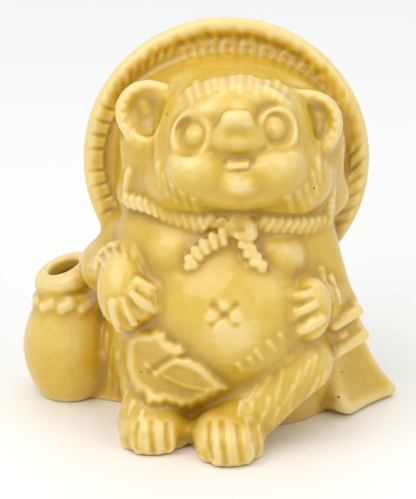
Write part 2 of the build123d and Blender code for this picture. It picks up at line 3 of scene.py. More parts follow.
import bpy
import numpy as np
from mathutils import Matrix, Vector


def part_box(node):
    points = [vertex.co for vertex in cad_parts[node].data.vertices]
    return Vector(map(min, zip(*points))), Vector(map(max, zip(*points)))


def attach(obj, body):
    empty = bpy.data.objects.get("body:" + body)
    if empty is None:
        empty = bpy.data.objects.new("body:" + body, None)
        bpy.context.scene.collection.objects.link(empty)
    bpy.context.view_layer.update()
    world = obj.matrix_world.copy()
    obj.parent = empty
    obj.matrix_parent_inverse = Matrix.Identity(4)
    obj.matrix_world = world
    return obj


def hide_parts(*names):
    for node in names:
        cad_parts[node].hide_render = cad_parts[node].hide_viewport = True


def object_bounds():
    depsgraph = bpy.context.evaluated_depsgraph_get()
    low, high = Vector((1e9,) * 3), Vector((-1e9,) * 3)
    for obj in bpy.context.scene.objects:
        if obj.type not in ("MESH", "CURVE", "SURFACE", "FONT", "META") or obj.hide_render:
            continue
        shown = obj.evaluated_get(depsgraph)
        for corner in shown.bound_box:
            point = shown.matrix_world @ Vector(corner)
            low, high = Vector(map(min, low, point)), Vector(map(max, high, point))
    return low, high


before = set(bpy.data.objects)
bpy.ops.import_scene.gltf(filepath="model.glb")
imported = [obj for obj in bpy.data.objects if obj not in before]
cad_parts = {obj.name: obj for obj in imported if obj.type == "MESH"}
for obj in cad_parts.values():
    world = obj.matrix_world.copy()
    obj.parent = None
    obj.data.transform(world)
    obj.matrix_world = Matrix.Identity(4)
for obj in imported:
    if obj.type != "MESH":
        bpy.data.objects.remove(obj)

import openvdb
from mathutils import Vector

before = [list(corner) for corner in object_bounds()]

# The figure is sculpted in millimetres, as signed distance fields on one grid, so that every member melts
# into its neighbours the way glaze does. Each place comes from the box of the CAD node it stands for.
MM = 1000.0  # millimetres in a metre
STEP = 0.36  # grid spacing
FAR = 6.0  # field value away from a member
GRID_ROOM, LUMP_ROOM, SHAPE_ROOM = 2.0, 2.5, 1.0  # room left round the CAD box, a member and a shape
FIT_ORDER = 6  # of the curves fitted through a row of sizes
TINY = 1e-6


def span(node):
    """The low and high corners of a CAD node's box."""
    low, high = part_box(node)
    return np.array(low) * MM, np.array(high) * MM


def mid(node):
    low, high = span(node)
    return (low + high) / 2


whole_low, whole_high = (np.array(corner) * MM for corner in before)
GRID_LOW = whole_low - GRID_ROOM
GRID_SIZE = np.ceil((whole_high + GRID_ROOM - GRID_LOW) / STEP).astype(int) + 1
up, side_on, away = np.array((0, 0, 1.0)), np.array((1.0, 0, 0)), np.array((0, 1.0, 0))


def unit(v):
    return np.array(v, float) / np.linalg.norm(v)


def smooth_min(a, b, k):
    """The lesser of two fields, run together over a width k."""
    if k <= 0:
        return np.minimum(a, b)
    h = np.maximum(k - np.abs(a - b), 0) / k
    return np.minimum(a, b) - h * h * k * 0.25


def smooth_max(a, b, k):
    return -smooth_min(-a, -b, k)


def ramp(x, low, high):
    """0 at low, 1 at high, smooth between."""
    t = np.clip((x - low) / (high - low), 0, 1)
    return t * t * (3 - 2 * t)


class Shape:
    """A field and the box it matters in."""

    def __init__(self, low, high, field):
        self.low, self.high, self.field = np.array(low, float), np.array(high, float), field


def turned(right, front):
    """Axes for a shape: across, up and out."""
    front = unit(front)
    right = unit(np.array(right, float) - front * np.dot(right, front))
    return np.array((right, np.cross(front, right), front))


UPRIGHT = turned(side_on, -away)


def local(axes, centre, x, y, z):
    """Coordinates along a shape's own axes."""
    x, y, z = x - centre[0], y - centre[1], z - centre[2]
    return [axis[0] * x + axis[1] * y + axis[2] * z for axis in axes]


def egg(centre, radii, axes=UPRIGHT):
    """An egg, its radii across, up and out."""

    def field(x, y, z):
        a, b, c = local(axes, centre, x, y, z)
        near = np.sqrt((a / radii[0]) ** 2 + (b / radii[1]) ** 2 + (c / radii[2]) ** 2)
        slope = np.sqrt((a / radii[0] ** 2) ** 2 + (b / radii[1] ** 2) ** 2 + (c / radii[2] ** 2) ** 2)
        return near * (near - 1) / (slope + TINY)

    reach = max(radii)
    return Shape(np.array(centre) - reach, np.array(centre) + reach, field)


def roll(start, end, start_radius, end_radius):
    """A tapering roll of clay."""
    start, end = np.array(start, float), np.array(end, float)
    run = end - start

    def field(x, y, z):
        x, y, z = x - start[0], y - start[1], z - start[2]
        t = np.clip((x * run[0] + y * run[1] + z * run[2]) / np.dot(run, run), 0, 1)
        gap = np.sqrt((x - t * run[0]) ** 2 + (y - t * run[1]) ** 2 + (z - t * run[2]) ** 2)
        return gap - start_radius - (end_radius - start_radius) * t

    reach = max(start_radius, end_radius)
    return Shape(np.minimum(start, end) - reach, np.maximum(start, end) + reach, field)


def hoop(centre, axes, ring, tube):
    """A ring lying across its out axis."""

    def field(x, y, z):
        a, b, c = local(axes, centre, x, y, z)
        return np.sqrt((np.sqrt(a * a + b * b) - ring) ** 2 + c * c) - tube

    reach = ring + tube
    return Shape(np.array(centre) - reach, np.array(centre) + reach, field)


def block(centre, halves, axes, rounding):
    """A box with rounded edges."""

    def field(x, y, z):
        q = [np.abs(p) - h + rounding for p, h in zip(local(axes, centre, x, y, z), halves)]
        outside = np.sqrt(sum(np.maximum(p, 0) ** 2 for p in q))
        return outside + np.minimum(np.maximum(np.maximum(q[0], q[1]), q[2]), 0) - rounding

    reach = np.linalg.norm(halves)
    return Shape(np.array(centre) - reach, np.array(centre) + reach, field)


def merged(shapes):
    """Several shapes as one, with no swelling where they meet."""

    def field(x, y, z):
        return np.minimum.reduce([shape.field(x, y, z) for shape in shapes])

    low, high = [shape.low for shape in shapes], [shape.high for shape in shapes]
    return Shape(np.min(low, axis=0), np.max(high, axis=0), field)


def chain(points, radius):
    """A roll of one thickness along a line of points."""
    return merged([roll(first, second, radius, radius) for first, second in zip(points, points[1:])])


class Lump:
    """One member of the figure: its field over its own window of the grid."""

    everyone = []

    def __init__(self, name, low, high, *nodes, melt=2.2):
        self.name, self.nodes, self.melt = name, nodes, melt
        self.first = np.maximum(np.floor((np.array(low) - LUMP_ROOM - GRID_LOW) / STEP).astype(int), 0)
        self.last = np.minimum(np.ceil((np.array(high) + LUMP_ROOM - GRID_LOW) / STEP).astype(int) + 1, GRID_SIZE)
        self.field = np.full(self.last - self.first, FAR, np.float32)
        Lump.everyone.append(self)

    def corner(self):
        return GRID_LOW + self.first * STEP

    def part(self, low, high):
        """The slices and coordinates of a smaller box of the window."""
        a = np.clip(np.floor((low - self.corner()) / STEP).astype(int), 0, self.field.shape)
        b = np.clip(np.ceil((high - self.corner()) / STEP).astype(int) + 1, 0, self.field.shape)
        axes = [(self.corner()[i] + STEP * np.arange(a[i], b[i])).astype(np.float32) for i in range(3)]
        x, y, z = np.ix_(*axes)
        return tuple(slice(i, j) for i, j in zip(a, b)), x, y, z

    def all(self):
        """The slices and coordinates of the whole window."""
        return self.part(self.corner(), self.corner() + STEP * np.array(self.field.shape))

    def join(self, shape, k=1.0):
        where, x, y, z = self.part(shape.low - k - SHAPE_ROOM, shape.high + k + SHAPE_ROOM)
        self.field[where] = smooth_min(self.field[where], shape.field(x, y, z), k)

    def cut(self, shape, k=0.5):
        where, x, y, z = self.part(shape.low - k - SHAPE_ROOM, shape.high + k + SHAPE_ROOM)
        self.field[where] = smooth_max(self.field[where], -shape.field(x, y, z), k)

    def sample(self, point):
        """The field at a point."""
        return sample(self.field, self.corner(), np.array([point]))[0]


def sample(field, corner, points):
    """Trilinear values of a field at points."""
    at = (points - corner) / STEP
    limit = np.array(field.shape) - 1.001
    beyond = np.any((at < 0) | (at > limit), axis=1)
    at = np.clip(at, 0, limit)
    base = at.astype(int)
    t = at - base
    total = 0.0
    for i in (0, 1):
        for j in (0, 1):
            for k in (0, 1):
                weight = np.abs(1 - i - t[:, 0]) * np.abs(1 - j - t[:, 1]) * np.abs(1 - k - t[:, 2])
                total = total + weight * field[base[:, 0] + i, base[:, 1] + j, base[:, 2] + k]
    return np.where(beyond, FAR, total)


# The photograph's view: from the front, 22 degrees down, through a long lens. Marks on the skin are given as
# they are seen in it, in pixels of the photograph, and dropped on to the member that carries them.
VIEW_DOWN = math.radians(22)
VIEW_AWAY = 800.0  # from the lens to the figure's middle
PIXEL = 0.21  # millimetres to a pixel at the figure's middle
PHOTO_WIDE, PHOTO_HIGH = 416, 499
AIM = np.array((-3.57, -3.0, 39.8))
TOWARDS = np.array((0, math.cos(VIEW_DOWN), -math.sin(VIEW_DOWN)))
VIEW_UP = np.array((0, math.sin(VIEW_DOWN), math.cos(VIEW_DOWN)))
LENS_AT = AIM - TOWARDS * VIEW_AWAY
CENTRE = (PHOTO_WIDE / 2, PHOTO_HIGH / 2)
SEARCH_START, SEARCH_STEPS, SHORTEST, LONGEST = VIEW_AWAY - 45.0, 110, 0.08, 1.5  # steps along a line of sight
FOUND, MISSED = 0.03, 0.25  # from the skin: near enough to stop, too far to count
LEAP = 4.0  # a stroke breaks off where the skin falls away by more than this


def rays(marks):
    """The directions from the lens to marks."""
    marks = np.array(marks, float).reshape(-1, 2)
    sideways = np.outer((marks[:, 0] - CENTRE[0]) * PIXEL, side_on)
    upwards = np.outer((CENTRE[1] - marks[:, 1]) * PIXEL, VIEW_UP)
    ends = AIM + sideways + upwards - LENS_AT
    return ends / np.linalg.norm(ends, axis=1, keepdims=True)


def at_depth(mark, depth):
    """The point seen at a mark, at a given place along Y."""
    ray = rays(mark)[0]
    return LENS_AT + ray * (depth - LENS_AT[1]) / ray[1]


def on_plane(mark, point, normal):
    """The point of a plane that is seen at a mark."""
    ray = rays(mark)[0]
    return LENS_AT + ray * np.dot(point - LENS_AT, normal) / np.dot(ray, normal)


def picture(x, y, z):
    """Where points are seen, in pixels."""
    x, y, z = x - LENS_AT[0], y - LENS_AT[1], z - LENS_AT[2]
    scale = VIEW_AWAY / (y * TOWARDS[1] + z * TOWARDS[2]) / PIXEL
    return CENTRE[0] + x * scale, CENTRE[1] - (y * VIEW_UP[1] + z * VIEW_UP[2]) * scale


def seen(lumps, marks, proud=0.0, checked=False):
    """Where the skin of one or more members is seen at each mark, and if asked, whether it is."""
    lumps = lumps if isinstance(lumps, tuple) else (lumps,)
    ray = rays(marks)
    near = np.full(len(ray), SEARCH_START)
    best, best_gap = near.copy(), np.full(len(ray), 1e9)
    for _ in range(SEARCH_STEPS):
        spots = LENS_AT + ray * near[:, None]
        gap = np.min([sample(lump.field, lump.corner(), spots) for lump in lumps], axis=0) - proud
        better = gap < best_gap
        best[better], best_gap[better] = near[better], gap[better]
        near = near + np.where(best_gap < FOUND, 0, np.clip(gap * 0.8, SHORTEST, LONGEST))
    spots = LENS_AT + ray * best[:, None]
    return (spots, best_gap < MISSED) if checked else spots


def along(marks, spacing=7.0):
    """Marks along a line, close enough together to follow the skin."""
    marks = np.array(marks, float)
    out = [marks[:1]]
    for a, b in zip(marks, marks[1:]):
        count = max(int(np.ceil(np.linalg.norm(b - a) / spacing)), 1)
        out.append(a + (b - a) * np.linspace(0, 1, count + 1)[1:, None])
    return np.concatenate(out)


def stroke(lump, marks, radius, proud=0.0, k=0.4, cut=False, taper=0.55):
    """A tool stroke drawn on the skin, raised or cut, thinning towards its end."""
    points, hit = seen(lump, along(marks), proud, checked=True)
    widths = np.linspace(radius, radius * taper, len(points))
    rolls = [
        roll(points[i], points[i + 1], widths[i], widths[i + 1]) for i in range(len(points) - 1)
        if hit[i] and hit[i + 1] and np.linalg.norm(points[i + 1] - points[i]) < LEAP
    ]
    if rolls:
        (lump.cut if cut else lump.join)(merged(rolls), k)


def strokes(lump, lines, radius, proud, k):
    """Raised strokes, such as hairs, each from x, y to x, y in the photograph."""
    for x0, y0, x1, y1 in lines:
        stroke(lump, ((x0, y0), (x1, y1)), radius, proud, k)


# Torso, belly and breasts
torso_low, torso_high = span("torso")
tall = torso_high[2]
body = Lump("body", torso_low - (2, 2, 0), torso_high + (2, 2, 2), "torso", "belly", "right_breast", "left_breast")
where, x, y, z = body.all()
# the pressed torso's section at some heights, with a smooth curve fitted through each size
torso_levels = np.array((0, 5, 10, 15, 20, 30, 38, 45, tall - 5.0, tall - 2.0, tall))
torso_half_widths = (21.5, 22.3, 23.0, 23.5, 24.0, 23.8, 23.0, 21.8, 20.3, 17.0, 13.4)
torso_half_depths = (12.5, 15.0, 16.8, 17.9, 18.5, 18.0, 16.5, 14.2, 12.6, 10.3, 8.0)
torso_shifts_back = (5.5, 3.4, 1.9, 0.8, 0.2, 0, 0, 0, 0, 0, 0)
torso_wide, torso_deep, torso_back = (
    np.polyval(np.polyfit(torso_levels, sizes, FIT_ORDER), np.clip(z, 0, tall))
    for sizes in (torso_half_widths, torso_half_depths, torso_shifts_back)
)
share = np.sqrt((x / torso_wide) ** 2 + ((y - torso_back) / torso_deep) ** 2)
slope = np.sqrt((x / torso_wide**2) ** 2 + ((y - torso_back) / torso_deep**2) ** 2) + TINY
body.field[where] = smooth_max(share * (share - 1) / slope, z - tall, 3.0)
rump_at, rump_radii = (-2.5, 9.0, 13.0), (torso_high[0] - 3.5, 16.0, 10.0)
body.join(egg(rump_at, rump_radii), k=3.0)
haunch_at, haunch_halves = (16.5, 9.6, 7.0), (6.0, 6.2, 8.5)
body.join(block(haunch_at, haunch_halves, UPRIGHT, rounding=3.5), k=2.5)
# flank beside the flask, stepping down towards it
flank_back = 13.0
for flank_side, flank_top, flank_radius in ((-21.2, 14.0, 4.9), (-25.5, 8.0, 4.5)):
    flank_foot, flank_head = (flank_side, flank_back, 0), (flank_side, flank_back, flank_top)
    body.join(roll(flank_foot, flank_head, flank_radius, flank_radius), k=4.0)
belly_at, belly_radii = np.array((1.5, span("belly")[0][1] + 16.0, 28.5)), (19.0, 17.0, 16.0)
body.join(egg(belly_at, belly_radii), k=1.6)
breast_marks = ((278, 257), (174, 250))
left_breast, right_breast = seen(body, breast_marks, proud=-2.2)
body.join(egg(left_breast, (5.4, 4.6, 3.9)), k=1.5)
body.join(egg(right_breast + (0, 1.2, 0), (4.6, 3.6, 3.6)), k=2.2)

# Head with its face
LOOK = math.radians(21)
head_low, head_high = span("head")
head_half_width = (head_high[0] - head_low[0]) / 2
head_at = np.array((mid("head")[0], mid("head")[1], head_high[2] - 14.57))
face = turned(side_on, (0, -math.cos(LOOK), math.sin(LOOK)))
head = Lump(
    "head", head_low - 3, head_high + 3, "head", "muzzle", "nose", "right_cheek", "left_cheek", "chin", "tongue",
    "right_eye_ring", "left_eye_ring", "right_eye", "left_eye", melt=4.0,
)
skull_lift, skull_radii = 2.1, (16.0, 12.2, 14.6)
jaw_drop, jaw_forward, jaw_radii = 6.8, 0.4, (head_half_width - 1.2, 8.6, 13.4)
head.join(egg(head_at + face[1] * skull_lift, skull_radii, face), k=0)
head.join(egg(head_at - face[1] * jaw_drop + face[2] * jaw_forward, jaw_radii, face), k=6.0)


class Bare(Lump):
    """The face before anything is put on it."""

    def __init__(self, lump):
        self.first, self.last, self.field = lump.first, lump.last, lump.field.copy()

    def normal(self, spot):
        return unit([self.sample(spot + STEP * e) - self.sample(spot - STEP * e) for e in np.eye(3)])


bare = Bare(head)


def pad(mark, radii, proud, k, turn=0.0):
    """A pad of clay on the face, standing out by the given amount."""
    spot = seen(bare, [mark])[0]
    normal = bare.normal(spot)
    axes = turned(face[0] * math.cos(turn) + face[1] * math.sin(turn), normal)
    head.join(egg(spot + normal * (proud - radii[2]), radii, axes), k)


# jowls, jaw, cheeks, chin, brow and eyelids
jowl_marks, jowl_radii = ((186, 180), (293, 180)), (8.0, 7.0, 7.0)
for mark in jowl_marks:
    head.join(egg(seen(bare, [mark], proud=-6.0)[0], jowl_radii, face), k=4.0)
jaw_mark, right_cheek_mark, left_cheek_mark, chin_mark = (240, 197), (189, 170), (281, 168), (240, 185)
brow_mark, right_lid_mark, left_lid_mark = (236, 100), (203, 112), (276, 98)
pad(jaw_mark, (12.0, 4.6, 6.0), proud=1.2, k=3.0)
pad(right_cheek_mark, (5.4, 4.5, 4.6), proud=2.6, k=2.4)
pad(left_cheek_mark, (5.7, 4.6, 4.8), proud=2.6, k=2.4)
pad(chin_mark, (3.8, 2.5, 3.4), proud=2.1, k=1.6)
pad(brow_mark, (8.5, 5.0, 5.0), proud=0.6, k=3.0)
pad(right_lid_mark, (5.4, 2.0, 3.4), proud=0.9, k=2.0, turn=math.radians(24))
pad(left_lid_mark, (4.6, 1.9, 3.4), proud=0.9, k=1.8, turn=math.radians(-28))
# eyes: marks of the ring's and the ball's middle and of the shaded hollow above, with the ring's radius
right_eye = {"ring_mark": (189, 135), "ring": 4.5, "ball_mark": (193, 135), "shade_mark": (179, 125)}
left_eye = {"ring_mark": (279, 130), "ring": 4.2, "ball_mark": (276, 128), "shade_mark": (268, 112)}
socket_radii, shade_radii, ball_radii = (4.3, 4.3, 1.0), (3.2, 2.2, 1.5), (2.5, 2.5, 1.6)
for eye in (right_eye, left_eye):
    spot = seen(bare, [eye["ring_mark"]])[0]
    normal = bare.normal(spot)
    axes = turned(face[0], normal)
    head.cut(egg(spot + normal * 0.8, socket_radii, axes), k=1.6)
    shade = seen(bare, [eye["shade_mark"]])[0]
    head.cut(egg(shade + bare.normal(shade) * 1.0, shade_radii, axes), k=2.2)
    head.join(hoop(spot - normal * 0.52, axes, eye["ring"], tube=0.40), k=1.1)
    ball = seen(bare, [eye["ball_mark"]])[0]
    head.join(egg(ball - normal * 1.05, ball_radii, axes), k=0.8)
    head.cut(hoop(ball + normal * 0.55, axes, ring=1.4, tube=0.16), k=0.3)
# muzzle: a bridge, a blunt nose whose underside leans back, and a hollow under it
muzzle_mark, bridge_mark, under_nose_mark = (238, 138), (237, 117), (238, 158)
pad(muzzle_mark, (5.4, 3.6, 6.0), proud=3.0, k=2.0)
pad(bridge_mark, (3.0, 3.2, 5.0), proud=2.4, k=2.0)
nose_tip_marks, nose_foot_marks = ((229, 119), (244, 119)), ((223, 138), (252, 139), (238, 145))
tip_right, tip_left = seen(bare, nose_tip_marks, proud=3.2)
wing_right, wing_left, lip = seen(bare, nose_foot_marks, proud=-0.5)
nose_edge, nose_rolls = 1.35, (
    (tip_right, tip_left, 1.6), (tip_right, wing_right, 2.2), (tip_left, wing_left, 2.2),
    ((tip_right + tip_left) / 2, lip, 2.0),
)
for start, end, end_radius in nose_rolls:
    head.join(roll(start, end, nose_edge, end_radius), k=1.2)
spot = seen(bare, [under_nose_mark])[0]
head.cut(egg(spot + bare.normal(spot) * 1.7, (4.4, 1.2, 1.6), face), k=1.2)
# mouth and the tongue in it
mouth_marks, tongue_marks, tongue_radius = (
    ((226, 163), (231, 168), (239, 170), (247, 168), (252, 162)), ((230, 166), (246, 165)), 0.7
)
stroke(head, mouth_marks, 0.32, proud=0.15, k=1.0, cut=True, taper=1.0)
tongue_right, tongue_left = seen(bare, tongue_marks, proud=0.05)
head.join(roll(tongue_right, tongue_left, tongue_radius, tongue_radius), k=0.7)
# hair on the brow and the jaw, each stroke from x, y to x, y
brow_hair = (
    (196, 84, 200, 99), (206, 78, 209, 95), (214, 76, 216, 91), (222, 74, 223, 94), (233, 73, 233, 90),
    (241, 72, 240, 94), (251, 73, 249, 90), (259, 75, 256, 95), (269, 78, 265, 93), (277, 83, 272, 100),
    (189, 91, 194, 105), (285, 89, 279, 103),
)
jaw_hair = (
    (166, 176, 169, 194), (174, 184, 178, 201), (183, 191, 188, 207), (194, 197, 198, 211), (160, 166, 162, 184),
    (296, 190, 304, 208), (304, 184, 310, 202), (311, 174, 315, 193), (286, 195, 292, 210), (316, 162, 318, 180),
)
strokes(head, brow_hair + jaw_hair, 0.6, proud=-0.45, k=1.0)

# Straw hat: a shallow cone with a rolled rim, seen from inside
LEAN = math.radians(9)
rim_low, rim_high = span("hat_rim")
hat_radius, rim_roll = (rim_high[0] - rim_low[0]) / 2, 1.9
rim_middle = hat_radius - rim_roll
hat_axes = turned(side_on, (0, -math.cos(LEAN), math.sin(LEAN)))
hat_at = np.array((
    mid("hat_rim")[0],
    rim_high[1] - rim_middle * math.sin(LEAN) - rim_roll,
    rim_high[2] - rim_middle * math.cos(LEAN) - rim_roll,
))
brim_low, brim_high = span("hat_brim")
hat = Lump(
    "hat", brim_low - (4, 18, 2), brim_high + (4, 1, 4), "hat_brim", "hat_rim", "hat_headband", "hat_crown",
)
where, x, y, z = hat.all()
a, b, h = local(hat_axes, hat_at, x, y, z)
rho = np.sqrt(a * a + b * b)
phi = np.arctan2(b, a)
# how far a point lies outside the oval opening of the crown, and which part of the brim it is in
crown_half_width, crown_half_height = 24.6, 21.0
off = rho - 1 / np.sqrt((np.cos(phi) / crown_half_width) ** 2 + (np.sin(phi) / crown_half_height) ** 2)
upper = ramp(np.sin(phi), 0.40, 0.72)
right_side = ramp(np.cos(phi), 0.80, 0.90) * ramp(np.sin(phi), 0.20, 0.05)
left_side = ramp(-np.cos(phi), 0.86, 0.93)
left_top = ramp(phi, 1.92, 2.10) * ramp(phi, 2.75, 2.50)
right_top = ramp(phi, 0.28, 0.42) * ramp(phi, 1.00, 0.80)


def straw(lean, pitch, circle=27.5):
    """Straw ends side by side round the brim, at a slant: 1 along the middle of each, 0 between two."""
    return np.abs(np.cos((phi * circle + (rho - 27.0) * lean) * np.pi / pitch))


# brim: sunk a little between the rim and the crown's edge over the head, flush with the rim at the sides
brim_face, side_rise, top_sink, streak_height = 0.9, 0.4, 0.2, 0.24
front = brim_face + side_rise * (1 - upper) * ramp(off, 8.0, 5.0) - top_sink * upper * ramp(off, 7.4, 5.2)
streak = np.sin(phi * 46 + rho * 0.55 + 1.4 * np.sin(phi * 7)) * 0.6 + np.sin(phi * 83 - rho * 0.9) * 0.4
front = front + streak_height * streak * upper * ramp(off, 3.4, 4.6) * ramp(off, 9.0, 7.0)
# twisted straw bundles on the viewer's right of the brim, flat braid on the left, slanting ends above both
bundles = np.minimum(straw(-0.95, pitch=3.3) * 1.6, 1)
braid_height, braid = 0.8, np.minimum(straw(0.0, pitch=3.0, circle=27.0) * 2.0, 1)
left_end_height, right_end_height = 0.55, 0.45
front = front + right_side * ramp(off, 0.8, 2.0) * ramp(rho, 30.2, 28.8) * bundles
front = front + left_side * ramp(off, 0.8, 1.6) * ramp(rho, 29.6, 28.6) * braid_height * braid
ends = left_end_height * left_top * straw(1.1, pitch=2.6)
front = front + ends * ramp(off, 2.4, 4.0) * ramp(rho, 30.0, 28.6)
ends = right_end_height * right_top * straw(-1.0, pitch=2.9)
front = front + ends * ramp(off, 2.0, 3.4) * ramp(rho, 30.0, 28.6)
# crown lining: a raised edge, then it swells towards the head
crown_swell, crown_edge_height, crown_edge_width = 7.5, 0.9, 1.3
crown_edge = crown_edge_height * np.exp(-(((off + 0.2) / crown_edge_width) ** 2)) * (0.45 + 0.55 * upper)
front = front + crown_swell * ramp(off, 0.4, -9.0) + crown_edge
# back: a blunt cone with straw ribs and rows
brim_back, cone_depth, rib_height, rib_count, row_height, row_pitch = 1.3, 11.2, 0.14, 72, 0.25, 6.4
cone = np.clip((rim_middle - np.sqrt(rho * rho + 9.0)) / (rim_middle - 5.0), -0.2, 1)
behind = -brim_back - cone_depth * cone + rib_height * np.cos(phi * rib_count) * ramp(rho, 8.0, 14.0)
behind = behind - row_height * np.abs(np.cos(rho * np.pi / row_pitch)) * ramp(rho, 2.0, 5.0)
# row of worn square weave marks above the crown's edge, at even angles in degrees
mark_count, first_mark_angle, mark_angle = 9, 109.0, 9.9
mark_half_width, mark_half_height, mark_above, mark_proud, mark_line = 1.05, 1.3, 2.5, 0.22, 0.46
for step in range(mark_count):
    turn = math.radians(first_mark_angle - mark_angle * step)
    past_side, past_top = np.abs(rho * (phi - turn)) - mark_half_width, np.abs(off - mark_above) - mark_half_height
    front = front + mark_proud * np.exp(-((np.abs(np.maximum(past_side, past_top)) / mark_line) ** 2))
sheet = np.maximum((h - front) * 0.93, (behind - h) * 0.90)
hat.field[where] = smooth_max(sheet, rho - (hat_radius - 1.2), 0.8)
# rolled rim, a little uneven
rim_tube, rim_forward = 1.65, 0.5
rim_wave = 0.10 * np.sin(phi * 17) + 0.09 * np.sin(phi * 31 + 1.0) + 0.06 * np.sin(phi * 57)
tube = np.sqrt((rho - hat_radius + rim_tube) ** 2 + (h - rim_forward) ** 2) - rim_tube
hat.field[where] = smooth_min(hat.field[where], tube - rim_wave * ramp(rho, 29.6, 28.0), 1.4)
# hood between the head, the crown's edge and the shoulders
hood_at, hood_radii = head_at + (-1.0, 4.6, -3.0), (23.6, 17.4, 12.0)
nape_at, nape_radii = head_at + (-0.9, 4.4, -14.0), (24.0, 9.5, 9.6)
hat.join(egg(hood_at, hood_radii, face), k=6.0)
hat.join(egg(nape_at, nape_radii), k=6.0)

# Ears, cupped towards the front: marks of the middle, of the rim and of the fold in the cup
right_ear_mark, right_fold_marks = (143, 111), ((143, 104), (147, 112))
right_rim_marks = (
    (163, 87), (149, 84), (136, 87), (127, 94), (121, 104), (120, 115), (124, 127), (131, 136), (140, 142),
)
left_ear_mark, left_fold_marks = (316, 121), ((312, 113), (319, 118), (321, 127))
left_rim_marks = (
    (295, 96), (308, 94), (319, 97), (329, 104), (336, 114), (338, 124), (336, 135), (330, 144), (323, 149),
)
ear_radii, cup_radii, seat_radii, rim_radius = (5.8, 6.2, 3.8), (4.2, 4.6, 2.5), (4.9, 5.3, 3.1), 0.9
for name, mark, out, rim_marks, fold_marks in (
    ("right_ear", right_ear_mark, -1, right_rim_marks, right_fold_marks),
    ("left_ear", left_ear_mark, 1, left_rim_marks, left_fold_marks),
):
    centre = seen(hat, [mark])[0]
    ear = Lump(name, centre - 9, centre + 9, name, melt=2.0)
    axes = turned((1, 0.30 * out, 0), face[2] + side_on * 0.15 * out)
    ear.join(egg(centre - axes[2] * 2.2, ear_radii, axes), k=0)
    rim = [on_plane(point, centre, axes[2]) for point in rim_marks]
    ear.join(chain(rim, rim_radius), k=1.8)
    ear.cut(egg(centre + np.dot((-out * 0.9, -0.2, 1.3), axes), cup_radii, axes), k=1.0)
    hat.cut(egg(centre + np.dot((-out * 0.9, -0.2, 1.0), axes), seat_radii, axes), k=1.0)
    # nicks across the rim
    for first, second in zip(rim, rim[1:]):
        spot = (first + second) / 2
        ear.cut(roll(spot + (0, -1.4, 0), spot + (centre - spot) * 0.25 + (0, -1.0, 0), 0.26, 0.22), k=0.6)
    fold = [point + (0, 0.6, 0) for point in seen(ear, fold_marks)]
    for first, second in zip(fold, fold[1:]):
        ear.join(roll(first, second, 0.9, 0.8), k=1.0)

# Right arm and paw: fingers, the gaps between them and a fur cuff over the wrist
right_arm = Lump("right_arm", (-32.5, -19.5, 22.0), (-7.5, 12.5, 51.5), "right_arm", "right_paw", melt=3.0)
right_shoulder, right_elbow = (-16.2, 4.0, 43.0), np.array((-24.8, 6.0, 32.5))
shoulder_radius, right_elbow_radius, right_wrist_radius = 6.8, 5.6, 5.2
right_paw_mark, right_thumb_mark = (123, 296), (141, 300)
right_finger_marks = (
    (((113, 303), (115, 316), (119, 329)), 1.05),
    (((122, 303), (128, 314), (134, 322)), 1.15),
    (((133, 296), (143, 303), (152, 309)), 1.2),
    (((138, 281), (145, 285), (151, 289)), 1.0),
)
right_gap_marks = (
    ((119, 302), (124, 316), (128, 324)), ((128, 297), (136, 309), (142, 315)), ((137, 289), (146, 296), (154, 299)),
)
right_cuff_marks = (
    (((97, 268), (98, 258), (105, 249), (116, 245)), 0.8), (((112, 247), (124, 247), (137, 251)), 1.2),
)
right_cuff_fur = (
    (104, 249, 109, 257), (113, 246, 117, 255), (123, 247, 126, 257), (132, 249, 134, 258), (99, 258, 104, 266),
)
right_arm.join(roll(right_shoulder, right_elbow, shoulder_radius, right_elbow_radius), k=0)
paw = at_depth(right_paw_mark, -11.6)
right_arm.join(roll(right_elbow, paw + (0.3, 3.6, 3.6), right_elbow_radius, right_wrist_radius), k=2.0)
paw_axes = turned((1, 0.10, 0.16), (-0.12, -1, 0.30))
right_arm.join(egg(paw + (0.1, 0.3, 0.2), (5.5, 7.7, 4.9), paw_axes), k=1.2)
right_arm.join(egg(at_depth(right_thumb_mark, -14.0), (3.4, 4.2, 3.2), paw_axes), k=1.6)
for marks, radius in right_finger_marks:
    stroke(right_arm, marks, radius, proud=-0.3, k=0.5, taper=0.85)
for marks in right_gap_marks:
    stroke(right_arm, marks, 0.5, proud=0.1, k=0.5, cut=True)
for marks, radius in right_cuff_marks:
    stroke(right_arm, marks, radius, proud=0.1, k=0.7, taper=0.9)
strokes(right_arm, right_cuff_fur, 0.4, proud=0.05, k=0.4)

# Left arm and fist, with fur on the wrist
left_arm = Lump("left_arm", (7.5, -21.5, 17.5), (31.0, 11.5, 51.5), "left_arm", "left_paw", melt=3.0)
left_shoulder, left_elbow = (16.4, -2.0, 42.0), np.array((22.6, -3.0, 26.0))
left_elbow_radius, left_wrist_radius = 5.3, 4.6
left_fist_mark = (311, 309)
left_finger_marks = (
    ((291, 301), (299, 297), (309, 294)), ((292, 317), (301, 311), (314, 304)), ((297, 332), (308, 327), (321, 319)),
)
left_gap_marks = (
    ((291, 309), (301, 304), (315, 298)), ((293, 325), (304, 319), (318, 311)), ((292, 292), (300, 289), (309, 287)),
)
left_cuff_fur = (
    (309, 269, 313, 277), (320, 270, 325, 280), (331, 278, 336, 288), (337, 292, 340, 303), (301, 273, 304, 281),
)
left_arm.join(roll(left_shoulder, left_elbow, shoulder_radius, left_elbow_radius), k=0)
fist = at_depth(left_fist_mark, -14.8)
left_arm.join(roll(left_elbow, fist + (0.6, 4.0, 0.6), left_elbow_radius, left_wrist_radius), k=2.0)
fist_axes = turned((1, 0.2, -0.1), (0.05, -1, 0.25))
left_arm.join(egg(fist, (4.3, 6.6, 4.7), fist_axes), k=1.2)
for marks in left_finger_marks:
    stroke(left_arm, marks, 1.25, proud=-0.35, k=0.5, taper=0.9)
